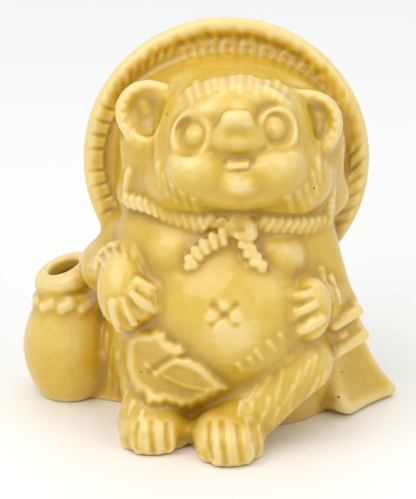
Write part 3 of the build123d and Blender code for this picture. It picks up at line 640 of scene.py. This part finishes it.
for marks in left_gap_marks:
    stroke(left_arm, marks, 0.5, proud=0.15, k=0.5, cut=True)
strokes(left_arm, left_cuff_fur, 0.75, proud=0.1, k=0.5)

# Navel: four small pads round two crossed grooves
navel_groove_marks = (((213, 305), (224, 315), (236, 325)), ((236, 305), (224, 315), (212, 325)))
navel_pad_marks, navel_pad_radii = ((213, 316), (225, 306), (236, 317), (222, 326)), (1.7, 1.4, 1.4)
for marks in navel_groove_marks:
    stroke(body, marks, 0.6, proud=0.4, k=1.0, cut=True, taper=1.0)
for mark in navel_pad_marks:
    body.join(egg(seen(body, [mark], proud=-1.0)[0], navel_pad_radii), k=0.8)
# fur fringe where the belly meets the left leg, and fur on the right hip
belly_fringe = (
    (238, 363, 242, 371), (249, 357, 252, 363), (256, 350, 262, 359), (268, 341, 275, 350), (279, 334, 283, 340),
)
hip_fur = (
    (108, 334, 106, 358), (114, 344, 110, 370), (120, 352, 115, 380), (111, 372, 109, 394), (118, 380, 115, 402),
    (104, 352, 103, 372),
)
strokes(body, belly_fringe + hip_fur, 0.5, proud=-0.25, k=0.6)

# Legs and feet
foot_half_width, toe_count, toe_angle, toe_radii = 7.0, 4, 17, (2.0, 2.9, 2.5)
toe_spread, toe_reach, toe_height = 6.768, 6.5, 2.9


def foot(lump, at, turn, grooves):
    """A broad foot, its toes parted by grooves."""
    axes = turned((math.cos(turn), math.sin(turn), 0), (math.sin(turn), -math.cos(turn), 0))
    lump.join(egg(at + up * 4.4, (foot_half_width, 5.4, 8.6), axes), k=2.0)
    lump.join(block(at + np.array((0, 1.8, 2.6)), (foot_half_width, 3.4, 7.0), axes, rounding=2.6), k=1.5)
    for step in range(toe_count):
        splay = math.radians((step - (toe_count - 1) / 2) * toe_angle)
        toe = at + np.dot((math.sin(splay) * toe_spread, 0, math.cos(splay) * toe_reach), axes) + up * toe_height
        lump.join(egg(toe, toe_radii, axes), k=0.9)
    for marks in grooves:
        stroke(lump, marks, 0.4, proud=0.15, k=0.9, cut=True, taper=1.0)


right_leg = Lump("right_leg", (-25.0, -22.5, 0), (-4.5, 9.0, 25.5), "right_leg", "right_foot", melt=3.0)
right_hip, right_ankle, right_foot_at = (-14.5, -1.0, 15.5), (-15.2, -10.5, 7.0), np.array((-15.3, -12.8, 0))
right_toe_marks = (
    ((136, 424), (134, 436), (136, 450)), ((152, 422), (151, 436), (153, 453)), ((168, 424), (168, 436), (169, 450)),
)
right_leg_fur = ((127, 392, 122, 408), (133, 402, 129, 414), (121, 398, 119, 412), (143, 411, 140, 419))
right_leg.join(roll(right_hip, right_ankle, 9.0, 6.4), k=0)
foot(right_leg, right_foot_at, math.radians(3), right_toe_marks)
strokes(right_leg, right_leg_fur, 0.5, proud=-0.1, k=0.5)

left_leg = Lump("left_leg", (-9.0, -29.0, 0), (28.0, 10.5, 29.0), "left_leg", "left_foot", melt=3.2)
left_hip, left_ankle, left_foot_at = (12.4, 1.0, 12.5), (4.4, -15.0, 6.6), np.array((0.4, -18.6, 0))
left_knee, left_knee_radius = np.array((15.4, -10.8, 17.6)), 6.9
left_toe_marks = (
    ((208, 422), (207, 440), (212, 460)), ((221, 420), (222, 440), (226, 466)), ((238, 424), (240, 442), (242, 464)),
)
left_leg_fur = (
    (283, 371, 274, 407), (300, 371, 288, 408), (269, 398, 266, 415), (246, 418, 249, 439), (258, 428, 261, 445),
    (318, 378, 308, 400), (279, 364, 263, 380), (291, 358, 273, 370), (309, 362, 300, 384), (258, 386, 247, 402),
    (252, 405, 250, 420), (270, 378, 258, 396), (293, 386, 284, 404), (312, 388, 300, 408), (278, 408, 272, 424),
    (264, 412, 258, 430), (325, 372, 318, 392), (290, 410, 282, 420), (300, 350, 288, 360), (316, 356, 311, 374),
    (241, 402, 238, 416), (252, 446, 254, 458),
)
left_leg.join(roll(left_hip, left_knee, 8.4, left_knee_radius), k=0)
left_leg.join(roll(left_knee, left_ankle, left_knee_radius, 6.0), k=2.0)
foot(left_leg, left_foot_at, math.radians(10), left_toe_marks)
strokes(left_leg, left_leg_fur, 0.38, proud=-0.14, k=0.5)

# Sake flask: a turned body, a slanted collar and an open mouth
flask_low, flask_high = span("flask_body")
neck_high = span("flask_neck")[1]
flask_at = np.array((flask_low[0] + 9.7, 13.0, 0))
flask_top = np.maximum(flask_high, neck_high)
flask = Lump("flask", flask_low - 2, flask_top + 2, "flask_body", "flask_neck", melt=1.8)
where, x, y, z = flask.all()
# the turned body's radius at some heights, with a smooth curve fitted through them
flask_levels = (0.0, 1.2, 3.4, 7.2, 11.0, 14.0, 17.2, 19.6, 22.0, 24.5, 27.0)
flask_girths = (5.9, 6.7, 8.1, 9.3, 9.7, 9.5, 8.7, 7.7, 7.0, 6.7, 6.8)
girth = np.polyval(np.polyfit(flask_levels, flask_girths, FIT_ORDER), z)
from_axis = np.sqrt((x - flask_at[0]) ** 2 + (y - flask_at[1]) ** 2)
flask.field[where] = smooth_max((from_axis - girth) * 0.95, z - 25.0, 0.5)
TILT = math.radians(20)
lip_dir = np.array((-math.sin(TILT), -0.06, math.cos(TILT)))
lip_at = flask_at + (-1.0, 0, 29.8)
lip_axes = turned((math.cos(TILT), 0, math.sin(TILT)), lip_dir)
lip_ring, lip_tube = 4.9, 2.25
flask.join(roll(flask_at + up * 20, lip_at - lip_dir * 2.4, 6.6, 5.6), k=0.8)
flask.join(hoop(lip_at - lip_dir * 2.3, lip_axes, lip_ring, lip_tube), k=1.0)
above_lip = local(lip_axes, lip_at, x, y, z)[2]
flask.field[where] = smooth_max(flask.field[where], above_lip, 0.8)


# Rope round the flask's neck, and the chin cord
def twist(lump, path, radius, pitch, lean, heart, thin=1.0, fat=0.40, core=0.75):
    """A twisted cord along a path of points: a core with slanting strands on it."""
    path = np.array(path, float)
    gaps = np.linalg.norm(np.diff(path, axis=0), axis=1)
    run = np.concatenate(([0], np.cumsum(gaps)))
    count = max(int(round(run[-1] / pitch)), 2)
    spots = [
        np.array([np.interp(run[-1] * (i + 0.5) / count, run, path[:, j]) for j in range(3)]) for i in range(count)
    ]
    for start, end in zip(path, path[1:]):
        lump.join(roll(start, end, radius * core * thin, radius * core * thin), k=0)
    for i, spot in enumerate(spots):
        size = radius * (1 - (1 - thin) * i / count)
        ahead = unit(spots[min(i + 1, count - 1)] - spots[max(i - 1, 0)])
        out = unit(spot - heart - ahead * np.dot(spot - heart, ahead))
        lay = ahead * math.cos(lean) + np.cross(out, ahead) * math.sin(lean)
        spot = spot + out * size * 0.4
        lump.join(roll(spot - lay * size * 0.75, spot + lay * size * 0.75, pitch * fat, pitch * fat), k=0.5)


rope_low, rope_high = span("flask_cord")
rope = Lump("flask_cord", rope_low - (2, 2, 5), rope_high + 2, "flask_cord", melt=1.2)
rope_at, rope_ring, rope_sag, rope_points = np.array((flask_at[0], flask_at[1], 21.6)), 6.1, 0.2, 49
rope_path = [
    rope_at + rope_ring * np.array((math.cos(t), math.sin(t), -rope_sag * math.sin(t)))
    for t in np.linspace(0, 2 * math.pi, rope_points)
]
twist(rope, rope_path, 1.35, 3.7, 0.5, rope_at, fat=0.30)

cord = Lump(
    "chin_cord", (-25.5, -27.0, 36.0), (26.0, 9.0, 66.0), "chin_cord_right", "chin_cord_left", "cord_knot",
    "cord_tail_right", "cord_tail_left", melt=1.2,
)
collar_at, nape = np.array((0, 0, 48.0)), np.array((0, 12.0, 50.0))
run_radius, run_pitch, run_lean, run_proud = 1.4, 1.8, 1.1, 0.35
right_run_marks = ((207, 224), (193, 221), (178, 217), (160, 210), (146, 205), (134, 202), (126, 200))
left_run_marks = ((257, 222), (272, 224), (292, 225), (310, 224), (327, 220))
for marks, hand in ((right_run_marks, -1), (left_run_marks, 1)):
    twist(cord, seen((body, hat), along(marks), run_proud), run_radius, run_pitch, hand * run_lean, nape)
# low ends that go on up into the hat
rise_radius, rise_pitch, rise_lean, rise_proud = 0.7, 1.5, 0.6, -0.1
right_rise_marks = ((126, 199), (127, 190), (128, 180), (130, 170))
left_rise_marks = ((328, 218), (329, 208), (330, 198), (331, 188))
for marks, hand in ((right_rise_marks, -1), (left_rise_marks, 1)):
    twist(cord, seen((body, hat), along(marks), rise_proud), rise_radius, rise_pitch, hand * rise_lean, nape)
# knot: a loop, a wrap and the lump between them, and the two tails
loop_marks = ((203, 222), (213, 221), (224, 223), (231, 231))
wrap_marks, wrap_radius = ((236, 217), (244, 219), (249, 227), (250, 234)), 1.7
knot_mark, knot_radii = (236, 227), (3.4, 2.6, 1.8)
right_tail_marks = ((227, 233), (218, 237), (207, 243), (197, 252), (188, 266))
left_tail_marks = ((241, 232), (245, 243), (252, 254), (262, 268))
tail_proud = 0.45
twist(cord, seen(body, loop_marks, proud=0.6), 1.45, 1.9, 1.0, collar_at)
cord.join(chain(seen(body, wrap_marks, proud=1.1), wrap_radius), k=0.8)
cord.join(egg(seen(body, [knot_mark], proud=0.2)[0], knot_radii), k=0.8)
twist(cord, seen(body, along(right_tail_marks), tail_proud), 1.8, 2.1, 1.3, collar_at, thin=0.65, core=0.8)
twist(cord, seen(body, along(left_tail_marks), tail_proud), 1.7, 2.3, 0.8, collar_at, thin=0.85, core=0.7)

# Passbook: pages between two covers and a tie, against the left hip
ROLL = math.radians(28)
book_axes = turned((math.cos(ROLL), 0, math.sin(ROLL)), (0.25, -1, 0.1))
book_mark, book_depth, book_reach = (340, 327), -4.0, 7
book_at = at_depth(book_mark, book_depth)
book_low, book_high = span("passbook")
book = Lump(
    "passbook", np.minimum(book_low, book_at - book_reach) - 1, np.maximum(book_high, book_at + book_reach) + 1,
    "passbook", melt=1.2,
)
pages_halves, cover_half_thickness, cover_half_depth = (4.2, 2.3, 4.2), 1.3, 5.0
book.join(block(book_at, pages_halves, book_axes, rounding=0.6), k=0)
upper_cover, lower_cover = ((341.5, 312.5), -5.6, 4.0), ((343.0, 339.5), -4.2, 5.1)
for cover_mark, cover_depth, cover_half_width in (upper_cover, lower_cover):
    cover_halves = (cover_half_width, cover_half_thickness, cover_half_depth)
    book.join(block(at_depth(cover_mark, cover_depth), cover_halves, book_axes, rounding=1.2), k=0.6)
tie_at, tie_halves = book_at + np.dot((-0.6, -0.1, 4.1), book_axes), (0.9, 0.8, 0.6)
book.join(block(tie_at, tie_halves, book_axes, rounding=0.3), k=0.5)

# Tail: a smooth, slightly dished plate that flares to the table, facing right and forward
tail_low, tail_high = span("tail")
tail = Lump("tail", tail_low - 3, tail_high + (3, 3, 2), "tail")
TAIL_TURN = math.radians(-42)
tail_out = np.array((math.cos(TAIL_TURN), math.sin(TAIL_TURN), 0))
tail_axes = turned(np.cross(up, tail_out), tail_out)
tail_top, tail_thick_front, tail_thick_back, foot_rounding = 19.0, 5.2, 4.5, 3.0
where, x, y, z = tail.all()
level = np.clip(z / tail_top, 0, 1.2)
tail_levels, tail_sides = (0.0, 0.47, 1.0), (30.8, 25.0, 22.9)
centre_x = np.polyval(np.polyfit(tail_levels, tail_sides, 2), level)
centre_y = 8.0 + 1.3 * level
near_foot = np.clip(1 - z / foot_rounding, 0, 1) ** 2
half_length = 9.8 - 6.0 * level + 1.9 * level**2 - 1.5 * near_foot
across = (x - centre_x) * tail_axes[0][0] + (y - centre_y) * tail_axes[0][1] + 1.2 * (1 - level)
outwards = (x - centre_x) * tail_out[0] + (y - centre_y) * tail_out[1]
hollow = 0.9 * np.cos(np.clip(across / (half_length + 0.01), -1, 1) * np.pi / 2)
plate = smooth_max(np.abs(across) - half_length, outwards - (tail_thick_front - hollow - 1.6 * near_foot), 2.6)
plate = smooth_max(plate, -outwards - tail_thick_back, 2.0)
tail.field[where] = smooth_max(plate * 0.92, z - tail_top, 5.0)
tail.field[where] = smooth_max(tail.field[where], -z, 2.2)

# Leaf: a sheet draped over the belly and the right thigh
leaf = Lump("leaf", (-22.0, -29.0, 1.5), (2.5, -6.0, 30.5), "leaf", melt=1.4)


def lay_under(lump, *others, k=1.5):
    """The joint field of other members over this one's window."""
    joint = np.full(lump.field.shape, FAR, np.float32)
    for other in others:
        a = np.maximum(lump.first, other.first)
        b = np.minimum(lump.last, other.last)
        if np.all(b > a):
            mine = tuple(slice(i, j) for i, j in zip(a - lump.first, b - lump.first))
            theirs = tuple(slice(i, j) for i, j in zip(a - other.first, b - other.first))
            joint[mine] = smooth_min(joint[mine], other.field[theirs], k)
    return joint


def gap_to(u, v, corners, closed=False):
    """Distance in the picture from a line of corners, and which side is inside."""
    corners = np.array(corners, float)
    nearest = np.full(u.shape, 1e9, np.float32)
    inside = np.zeros(u.shape, bool)
    ends = np.roll(corners, -1, axis=0) if closed else corners[1:]
    for p, q in zip(corners, ends):
        run = q - p
        f = np.clip(((u - p[0]) * run[0] + (v - p[1]) * run[1]) / np.dot(run, run), 0, 1)
        nearest = np.minimum(nearest, (u - p[0] - f * run[0]) ** 2 + (v - p[1] - f * run[1]) ** 2)
        if closed and abs(run[1]) > TINY:
            inside ^= ((p[1] > v) != (q[1] > v)) & (u < run[0] * (v - p[1]) / run[1] + p[0])
    return np.sqrt(nearest) * PIXEL, inside


def bump(gap, width):
    """1 on a line, falling to 0 over about a width."""
    return np.exp(-((gap / width) ** 2))


leaf_outline_marks = (
    (125, 348), (128, 338), (138, 332), (150, 333), (156, 330), (164, 334), (167, 341), (173, 345), (180, 346),
    (184, 351), (181, 357), (190, 360), (200, 364), (210, 372), (218, 380), (227, 388), (218, 393), (209, 399),
    (199, 404), (190, 408), (178, 407), (168, 403), (158, 404), (149, 403), (144, 396), (137, 391), (130, 381),
    (125, 366),
)
fold_line_marks = ((156, 375), (165, 367), (175, 362), (189, 361))
crease_marks = ((150, 371), (160, 364), (169, 358), (181, 357))
short_vein_marks, long_vein_marks = ((145, 364), (155, 373)), ((164, 376), (185, 386), (207, 390))
where, x, y, z = leaf.all()
u, v = picture(x, y, z)
under = lay_under(leaf, body, right_leg, k=4.0)
gap, inside = gap_to(u, v, leaf_outline_marks, closed=True)
edge = np.where(inside, -gap, gap)
# soft scallops along the lower edge
scallop_height, scallop_pitch = 0.12, 11.0
edge = edge + scallop_height * np.cos(u * 2 * np.pi / scallop_pitch) * ramp(v, 380.0, 392.0)
fold, crease = gap_to(u, v, fold_line_marks)[0], gap_to(u, v, crease_marks)[0]
vein = np.minimum(gap_to(u, v, short_vein_marks)[0], gap_to(u, v, long_vein_marks)[0])
leaf_thick, rim_height, fold_height, crease_depth, vein_height, lower_height = 1.25, 0.26, 0.32, 0.4, 0.28, 0.35
thick = leaf_thick + rim_height * bump(edge + 1.2, 0.8) + fold_height * bump(fold, 0.7)
thick = thick - crease_depth * bump(crease, 0.7) + vein_height * bump(vein, 0.35)
# the lower half lies over the upper one
thick = thick + lower_height * ramp(v - 0.35 * u, 300.0, 318.0)
leaf.field[where] = smooth_max(under - thick, edge, 1.6)

# One skin over all the members, then each member cut out of it along the creases
total = np.full(GRID_SIZE, FAR, np.float32)
for lump in sorted(Lump.everyone, key=lambda lump: -lump.melt):
    where = tuple(slice(i, j) for i, j in zip(lump.first, lump.last))
    total[where] = smooth_min(total[where], lump.field, lump.melt)
# cut flat where it stands on the table
heights = np.ix_(*[GRID_LOW[i] + STEP * np.arange(GRID_SIZE[i]) for i in range(3)])[2]
total = smooth_max(total, -heights.astype(np.float32), 0.6)
# the flask's inside, from its floor to its mouth
cavity = Lump("cavity", flask_low, flask_top)
Lump.everyone.remove(cavity)
cavity_floor, cavity_shoulder = flask_at + up * 8.5, flask_at + up * 14.0
cavity_radius, neck_radius, throat_radius, mouth_radius = 5.8, 5.2, 4.2, 3.3
cavity.join(roll(cavity_floor, cavity_shoulder, cavity_radius, cavity_radius), k=0)
cavity.join(roll(cavity_shoulder, lip_at - lip_dir * 5.5, neck_radius, throat_radius), k=1.0)
cavity.join(roll(lip_at - lip_dir * 5.0, lip_at + lip_dir * 4.0, mouth_radius, mouth_radius + 0.2), k=0.5)
where = tuple(slice(i, j) for i, j in zip(cavity.first, cavity.last))
total[where] = smooth_max(total[where], -cavity.field, 1.1)


def blur(field, reach):
    """A box blur along each axis in turn."""
    n = max(int(round(reach / STEP)), 1)
    for axis in range(3):
        padded = np.concatenate([np.take(field, [0] * (n + 1), axis), field, np.take(field, [-1] * n, axis)], axis)
        sums = np.cumsum(padded, axis, dtype=np.float64)
        size = field.shape[axis]
        high = np.take(sums, range(2 * n + 1, 2 * n + 1 + size), axis)
        low = np.take(sums, range(0, size), axis)
        field = ((high - low) / (2 * n + 1)).astype(np.float32)
    return field


# the glaze runs together over small edges
EDGE_KEPT, EDGE_RUN, EDGE_REACH = 0.45, 0.55, 0.3
total = EDGE_KEPT * total + EDGE_RUN * blur(total, EDGE_REACH)
# the skin at two coarser scales, which tell ridges from hollows
FINE_REACH, BROAD_REACH = 0.55, 1.3
fine = blur(total, FINE_REACH)
broad = blur(blur(total, BROAD_REACH), BROAD_REACH)


def slope_at(points):
    """The skin's outward direction at points."""
    grad = np.stack([
        sample(total, GRID_LOW, points + STEP * e) - sample(total, GRID_LOW, points - STEP * e) for e in np.eye(3)
    ], 1)
    return grad / (np.linalg.norm(grad, axis=1, keepdims=True) + 1e-9)


def linear(code):
    """A colour given as an sRGB hex code, in linear light."""
    parts = [int(code[i:i + 2], 16) / 255 for i in (0, 2, 4)]
    return tuple(c / 12.92 if c <= 0.04045 else ((c + 0.055) / 1.055) ** 2.4 for c in parts) + (1.0,)


def node(tree, kind, inputs=(), **settings):
    """Adds a node, sets it and links its inputs."""
    made = tree.nodes.new(kind)
    for name, value in settings.items():
        setattr(made, name, value)
    for name, value in dict(inputs).items():
        if isinstance(value, bpy.types.NodeSocket):
            tree.links.new(value, made.inputs[name])
        else:
            made.inputs[name].default_value = value
    return made


def stops(ramp_node, *pairs):
    """Sets a colour ramp's stops."""
    bar = ramp_node.color_ramp
    for i, (place, colour) in enumerate(pairs):
        stop = bar.elements[i] if i < 2 else bar.elements.new(place)
        stop.position, stop.color = place, colour


def material(name):
    """An empty node material, its tree and its output."""
    made = bpy.data.materials.new(name)
    made.use_nodes = True
    tree = made.node_tree
    tree.nodes.remove(tree.nodes["Principled BSDF"])
    return made, tree, tree.nodes["Material Output"]


# Yellow transparent glaze on a pale stoneware body. The figure was dipped and fired, so the glaze is thin and pale on
# ridges and has pooled to ochre in hollows. It drifts in soft clouds and small blotches, has a few brown pinholes, and
# gives the eye a wet gloss over a slightly softer body. Light from above is also painted into its colour: faces turned
# up are painted paler and faces turned down darker ochre.
GLASS_IOR = 1.5
CLOUD_MM, BLOTCH_MM, PINHOLE_APART_MM = 10.526, 2.381, 6.061  # clouds, blotches and the pinholes' cells
CLOUD_SHARE, BLOTCH_SHARE = 0.26, 0.28  # how far each shifts the depth of glaze
PINHOLE_SIZE, PINHOLE_SHARE = 0.042, 0.22  # a pinhole's radius in cells (about 0.25 mm), and how many cells have one
GLAZE_STOPS = ((0.0, "f0d68a"), (0.36, "dfb940"), (0.62, "cfa52c"), (1.0, "b0861a"))  # from thin to pooled; the place on this bar also carries painted light, paler where the skin faces up
glaze, tree, output = material("yellow_glaze_stoneware")
# the glaze depth of each point, with painted light from above in it: paler where the skin faces up, darker ochre where
# it faces down
glaze_and_painted_light_attribute = node(tree, "ShaderNodeAttribute", attribute_name="glaze")
place = node(tree, "ShaderNodeTexCoord").outputs["Object"]
cloud = node(tree, "ShaderNodeTexNoise", {"Vector": place, "Scale": MM / CLOUD_MM, "Detail": 3.0, "Roughness": 0.55})
drift = node(
    tree, "ShaderNodeMath", {0: cloud.outputs["Fac"], 1: CLOUD_SHARE, 2: -CLOUD_SHARE}, operation="MULTIPLY_ADD"
)
blotch = node(tree, "ShaderNodeTexNoise", {"Vector": place, "Scale": MM / BLOTCH_MM, "Detail": 2.0, "Roughness": 0.6})
drift = node(
    tree, "ShaderNodeMath", {0: blotch.outputs["Fac"], 1: BLOTCH_SHARE, 2: drift.outputs[0]}, operation="MULTIPLY_ADD"
)
# depth of glaze with its painted light from above, moved by the clouds and blotches
depth = node(tree, "ShaderNodeMath", {0: glaze_and_painted_light_attribute.outputs["Fac"], 1: drift.outputs[0]}, operation="ADD")
tone = node(tree, "ShaderNodeValToRGB", {"Fac": depth.outputs[0]})
stops(tone, *((place_on_bar, linear(code)) for place_on_bar, code in GLAZE_STOPS))
speck = node(tree, "ShaderNodeTexVoronoi", {"Vector": place, "Scale": MM / PINHOLE_APART_MM}, feature="F1")
tiny = node(tree, "ShaderNodeMath", {0: speck.outputs["Distance"], 1: PINHOLE_SIZE}, operation="LESS_THAN")
chosen = node(tree, "ShaderNodeSeparateColor", {"Color": speck.outputs["Color"]})
rare = node(tree, "ShaderNodeMath", {0: chosen.outputs["Red"], 1: PINHOLE_SHARE}, operation="LESS_THAN")
pin = node(tree, "ShaderNodeMath", {0: tiny.outputs[0], 1: rare.outputs[0]}, operation="MULTIPLY")
colour = node(
    tree, "ShaderNodeMix", {0: pin.outputs[0], 6: tone.outputs["Color"], 7: linear("6a4a24")}, data_type="RGBA"
)
skin = node(tree, "ShaderNodeBsdfPrincipled", {
    "Base Color": colour.outputs[2], "Roughness": 0.30, "IOR": GLASS_IOR,
    "Coat Weight": 0.5, "Coat Roughness": 0.06, "Coat IOR": GLASS_IOR,
})
tree.links.new(skin.outputs[0], output.inputs["Surface"])

# Bare fired clay under the foot, wiped clean of glaze for the kiln shelf: pale, sandy and matt
GRAIN_MM = 1.667
clay, tree, output = material("bare_fired_clay")
place = node(tree, "ShaderNodeTexCoord").outputs["Object"]
grain = node(tree, "ShaderNodeTexNoise", {"Vector": place, "Scale": MM / GRAIN_MM, "Detail": 4.0})
tone = node(tree, "ShaderNodeValToRGB", {"Fac": grain.outputs["Fac"]})
stops(tone, (0.3, linear("cbb48c")), (0.75, linear("e4d5b4")))
skin = node(tree, "ShaderNodeBsdfPrincipled", {"Base Color": tone.outputs["Color"], "Roughness": 0.85, "IOR": 1.5})
tree.links.new(skin.outputs[0], output.inputs["Surface"])

OVERLAP, CREASE = 0.06, 0.5  # how far a member's skin sinks under its neighbour's, and within what distance
INNER = -0.12  # deeper than this a point is on the hidden side of a crease
MEAN_DEPTH, RIDGE_THINS, PAINTED_LIGHT_FROM_ABOVE = 0.52, 1.25, 0.16  # depth of glaze, what ridges take off it, and the painted light from above that makes upward faces paler
FINE_SHARE, BROAD_SHARE = 2.2, 0.5  # fine and broad form in what counts as a ridge


def skin_of(lump):
    """Adds the member as a closed mesh, with its smooth normals and its depth of glaze, painted light from above mixed
    in.
    """
    where = tuple(slice(i, j) for i, j in zip(lump.first, lump.last))
    others = np.full(lump.field.shape, FAR, np.float32)
    for other in Lump.everyone:
        if other is not lump:
            others = np.minimum(others, lay_under(lump, other, k=0))
    # past the crease the skin goes on a little, just under its neighbour's, so that no gap shows
    past = lump.field - others
    field = total[where] + OVERLAP * ramp(past, -CREASE, CREASE) + np.maximum(past - CREASE, 0)
    padded = np.pad(field, 1, constant_values=1.0)
    grid = openvdb.FloatGrid(1.0)
    grid.copyFromArray(padded.astype(np.float32))
    points, quads = grid.convertToQuads(0.0)
    points = (points - 1.0) * STEP + lump.corner()
    mesh = bpy.data.meshes.new(f"{lump.name}_glazed")
    mesh.vertices.add(len(points))
    mesh.vertices.foreach_set("co", (points / MM).astype(np.float32).ravel())
    mesh.loops.add(quads.size)
    mesh.loops.foreach_set("vertex_index", quads[:, ::-1].astype(np.int32).ravel())
    mesh.polygons.add(len(quads))
    mesh.polygons.foreach_set("loop_start", np.arange(0, quads.size, 4, dtype=np.int32))
    mesh.update(calc_edges=True)
    mesh.validate()
    normals = np.zeros(len(points) * 3, np.float32)
    mesh.vertices.foreach_get("normal", normals)
    outward = slope_at(points)
    if np.mean(np.sum(normals.reshape(-1, 3) * outward, 1)) < 0:
        mesh.flip_normals()
    mesh.polygons.foreach_set("use_smooth", np.ones(len(mesh.polygons), bool))
    own = sample(total, GRID_LOW, points) > INNER
    mesh.vertices.foreach_get("normal", normals)
    mixed = np.where(own[:, None], outward, normals.reshape(-1, 3))
    mesh.normals_split_custom_set_from_vertices(mixed.astype(np.float32))
    ridge = sample(fine, GRID_LOW, points) * FINE_SHARE + sample(broad, GRID_LOW, points) * BROAD_SHARE
    # ridges thin the glaze; the upward tilt is painted light, paler on faces turned up and darker on faces turned
    # down; both go into the glaze attribute
    glaze_depth_and_painted_light = np.clip(MEAN_DEPTH - ridge * RIDGE_THINS - outward[:, 2] * PAINTED_LIGHT_FROM_ABOVE, 0, 1)
    mesh.attributes.new("glaze", "FLOAT", "POINT").data.foreach_set("value", glaze_depth_and_painted_light.astype(np.float32))
    piece = bpy.data.objects.new(f"{lump.name}_glazed", mesh)
    bpy.context.collection.objects.link(piece)
    mesh.materials.append(glaze)
    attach(piece, "root")
    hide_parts(*lump.nodes)


for lump in Lump.everyone:
    skin_of(lump)
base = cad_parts["base_plate"]
base.data.materials.clear()
base.data.materials.append(clay)

# Floor and light, sizes in metres
FLOOR = 3.0  # half its side
floor_mesh = bpy.data.meshes.new("floor")
corners = [(-FLOOR, -FLOOR, 0), (FLOOR, -FLOOR, 0), (FLOOR, FLOOR, 0), (-FLOOR, FLOOR, 0)]
floor_mesh.from_pydata(corners, [], [(0, 1, 2, 3)])
floor = bpy.data.objects.new("floor", floor_mesh)
bpy.context.collection.objects.link(floor)
# Matt white background paper: even, with a soft shadow
paper, tree, output = material("white_paper")
skin = node(tree, "ShaderNodeBsdfPrincipled", {"Base Color": linear("fbfbfa"), "Roughness": 0.7})
tree.links.new(skin.outputs[0], output.inputs["Surface"])
floor_mesh.materials.append(paper)

# the world lights the figure in plain grey; the camera, reflections and glass see it white
world = bpy.data.worlds.new("studio")
world.use_nodes = True
bpy.context.scene.world = world
tree = world.node_tree
path = node(tree, "ShaderNodeLightPath")
shown = path.outputs["Is Camera Ray"]
for ray_kind in ("Is Glossy Ray", "Is Transmission Ray"):
    shown = node(tree, "ShaderNodeMath", {0: shown, 1: path.outputs[ray_kind]}, operation="MAXIMUM").outputs[0]
sky = node(tree, "ShaderNodeMix", {0: shown, 6: linear("b2b3b5"), 7: linear("ffffff")}, data_type="RGBA")
tree.links.new(sky.outputs[2], tree.nodes["Background"].inputs["Color"])


def softbox(name, place, aim, size, power):
    """A square lamp aimed at a point."""
    light = bpy.data.lights.new(name, "AREA")
    light.shape, light.size, light.size_y, light.energy = "RECTANGLE", size, size, power
    lamp = bpy.data.objects.new(name, light)
    bpy.context.collection.objects.link(lamp)
    lamp.location = place
    lamp.rotation_euler = (Vector(aim) - Vector(place)).to_track_quat("-Z", "Y").to_euler()


heart = Vector((whole_low + whole_high) / 2 / MM)
softbox("key", heart + Vector((-0.30, -0.32, 0.50)), heart, size=0.6, power=2.35)
softbox("fill", heart + Vector((0.45, -0.40, 0.45)), heart, size=0.5, power=1.1)
softbox("overhead", heart + Vector((0.1, 0.30, 0.95)), heart, size=1.2, power=3.7)

SENSOR = 24.0  # millimetres high
camera_data = bpy.data.cameras.new("camera")
camera_data.sensor_fit, camera_data.sensor_height = "VERTICAL", SENSOR
camera_data.lens = SENSOR * VIEW_AWAY / (PHOTO_HIGH * PIXEL)
camera_data.clip_end = 20.0
camera = bpy.data.objects.new("camera", camera_data)
bpy.context.collection.objects.link(camera)
camera.location = Vector(LENS_AT / MM)
camera.rotation_euler = (math.pi / 2 - VIEW_DOWN, 0, 0)
bpy.context.scene.camera = camera
bpy.context.scene.view_settings.view_transform = "Standard"

bpy.context.view_layer.update()
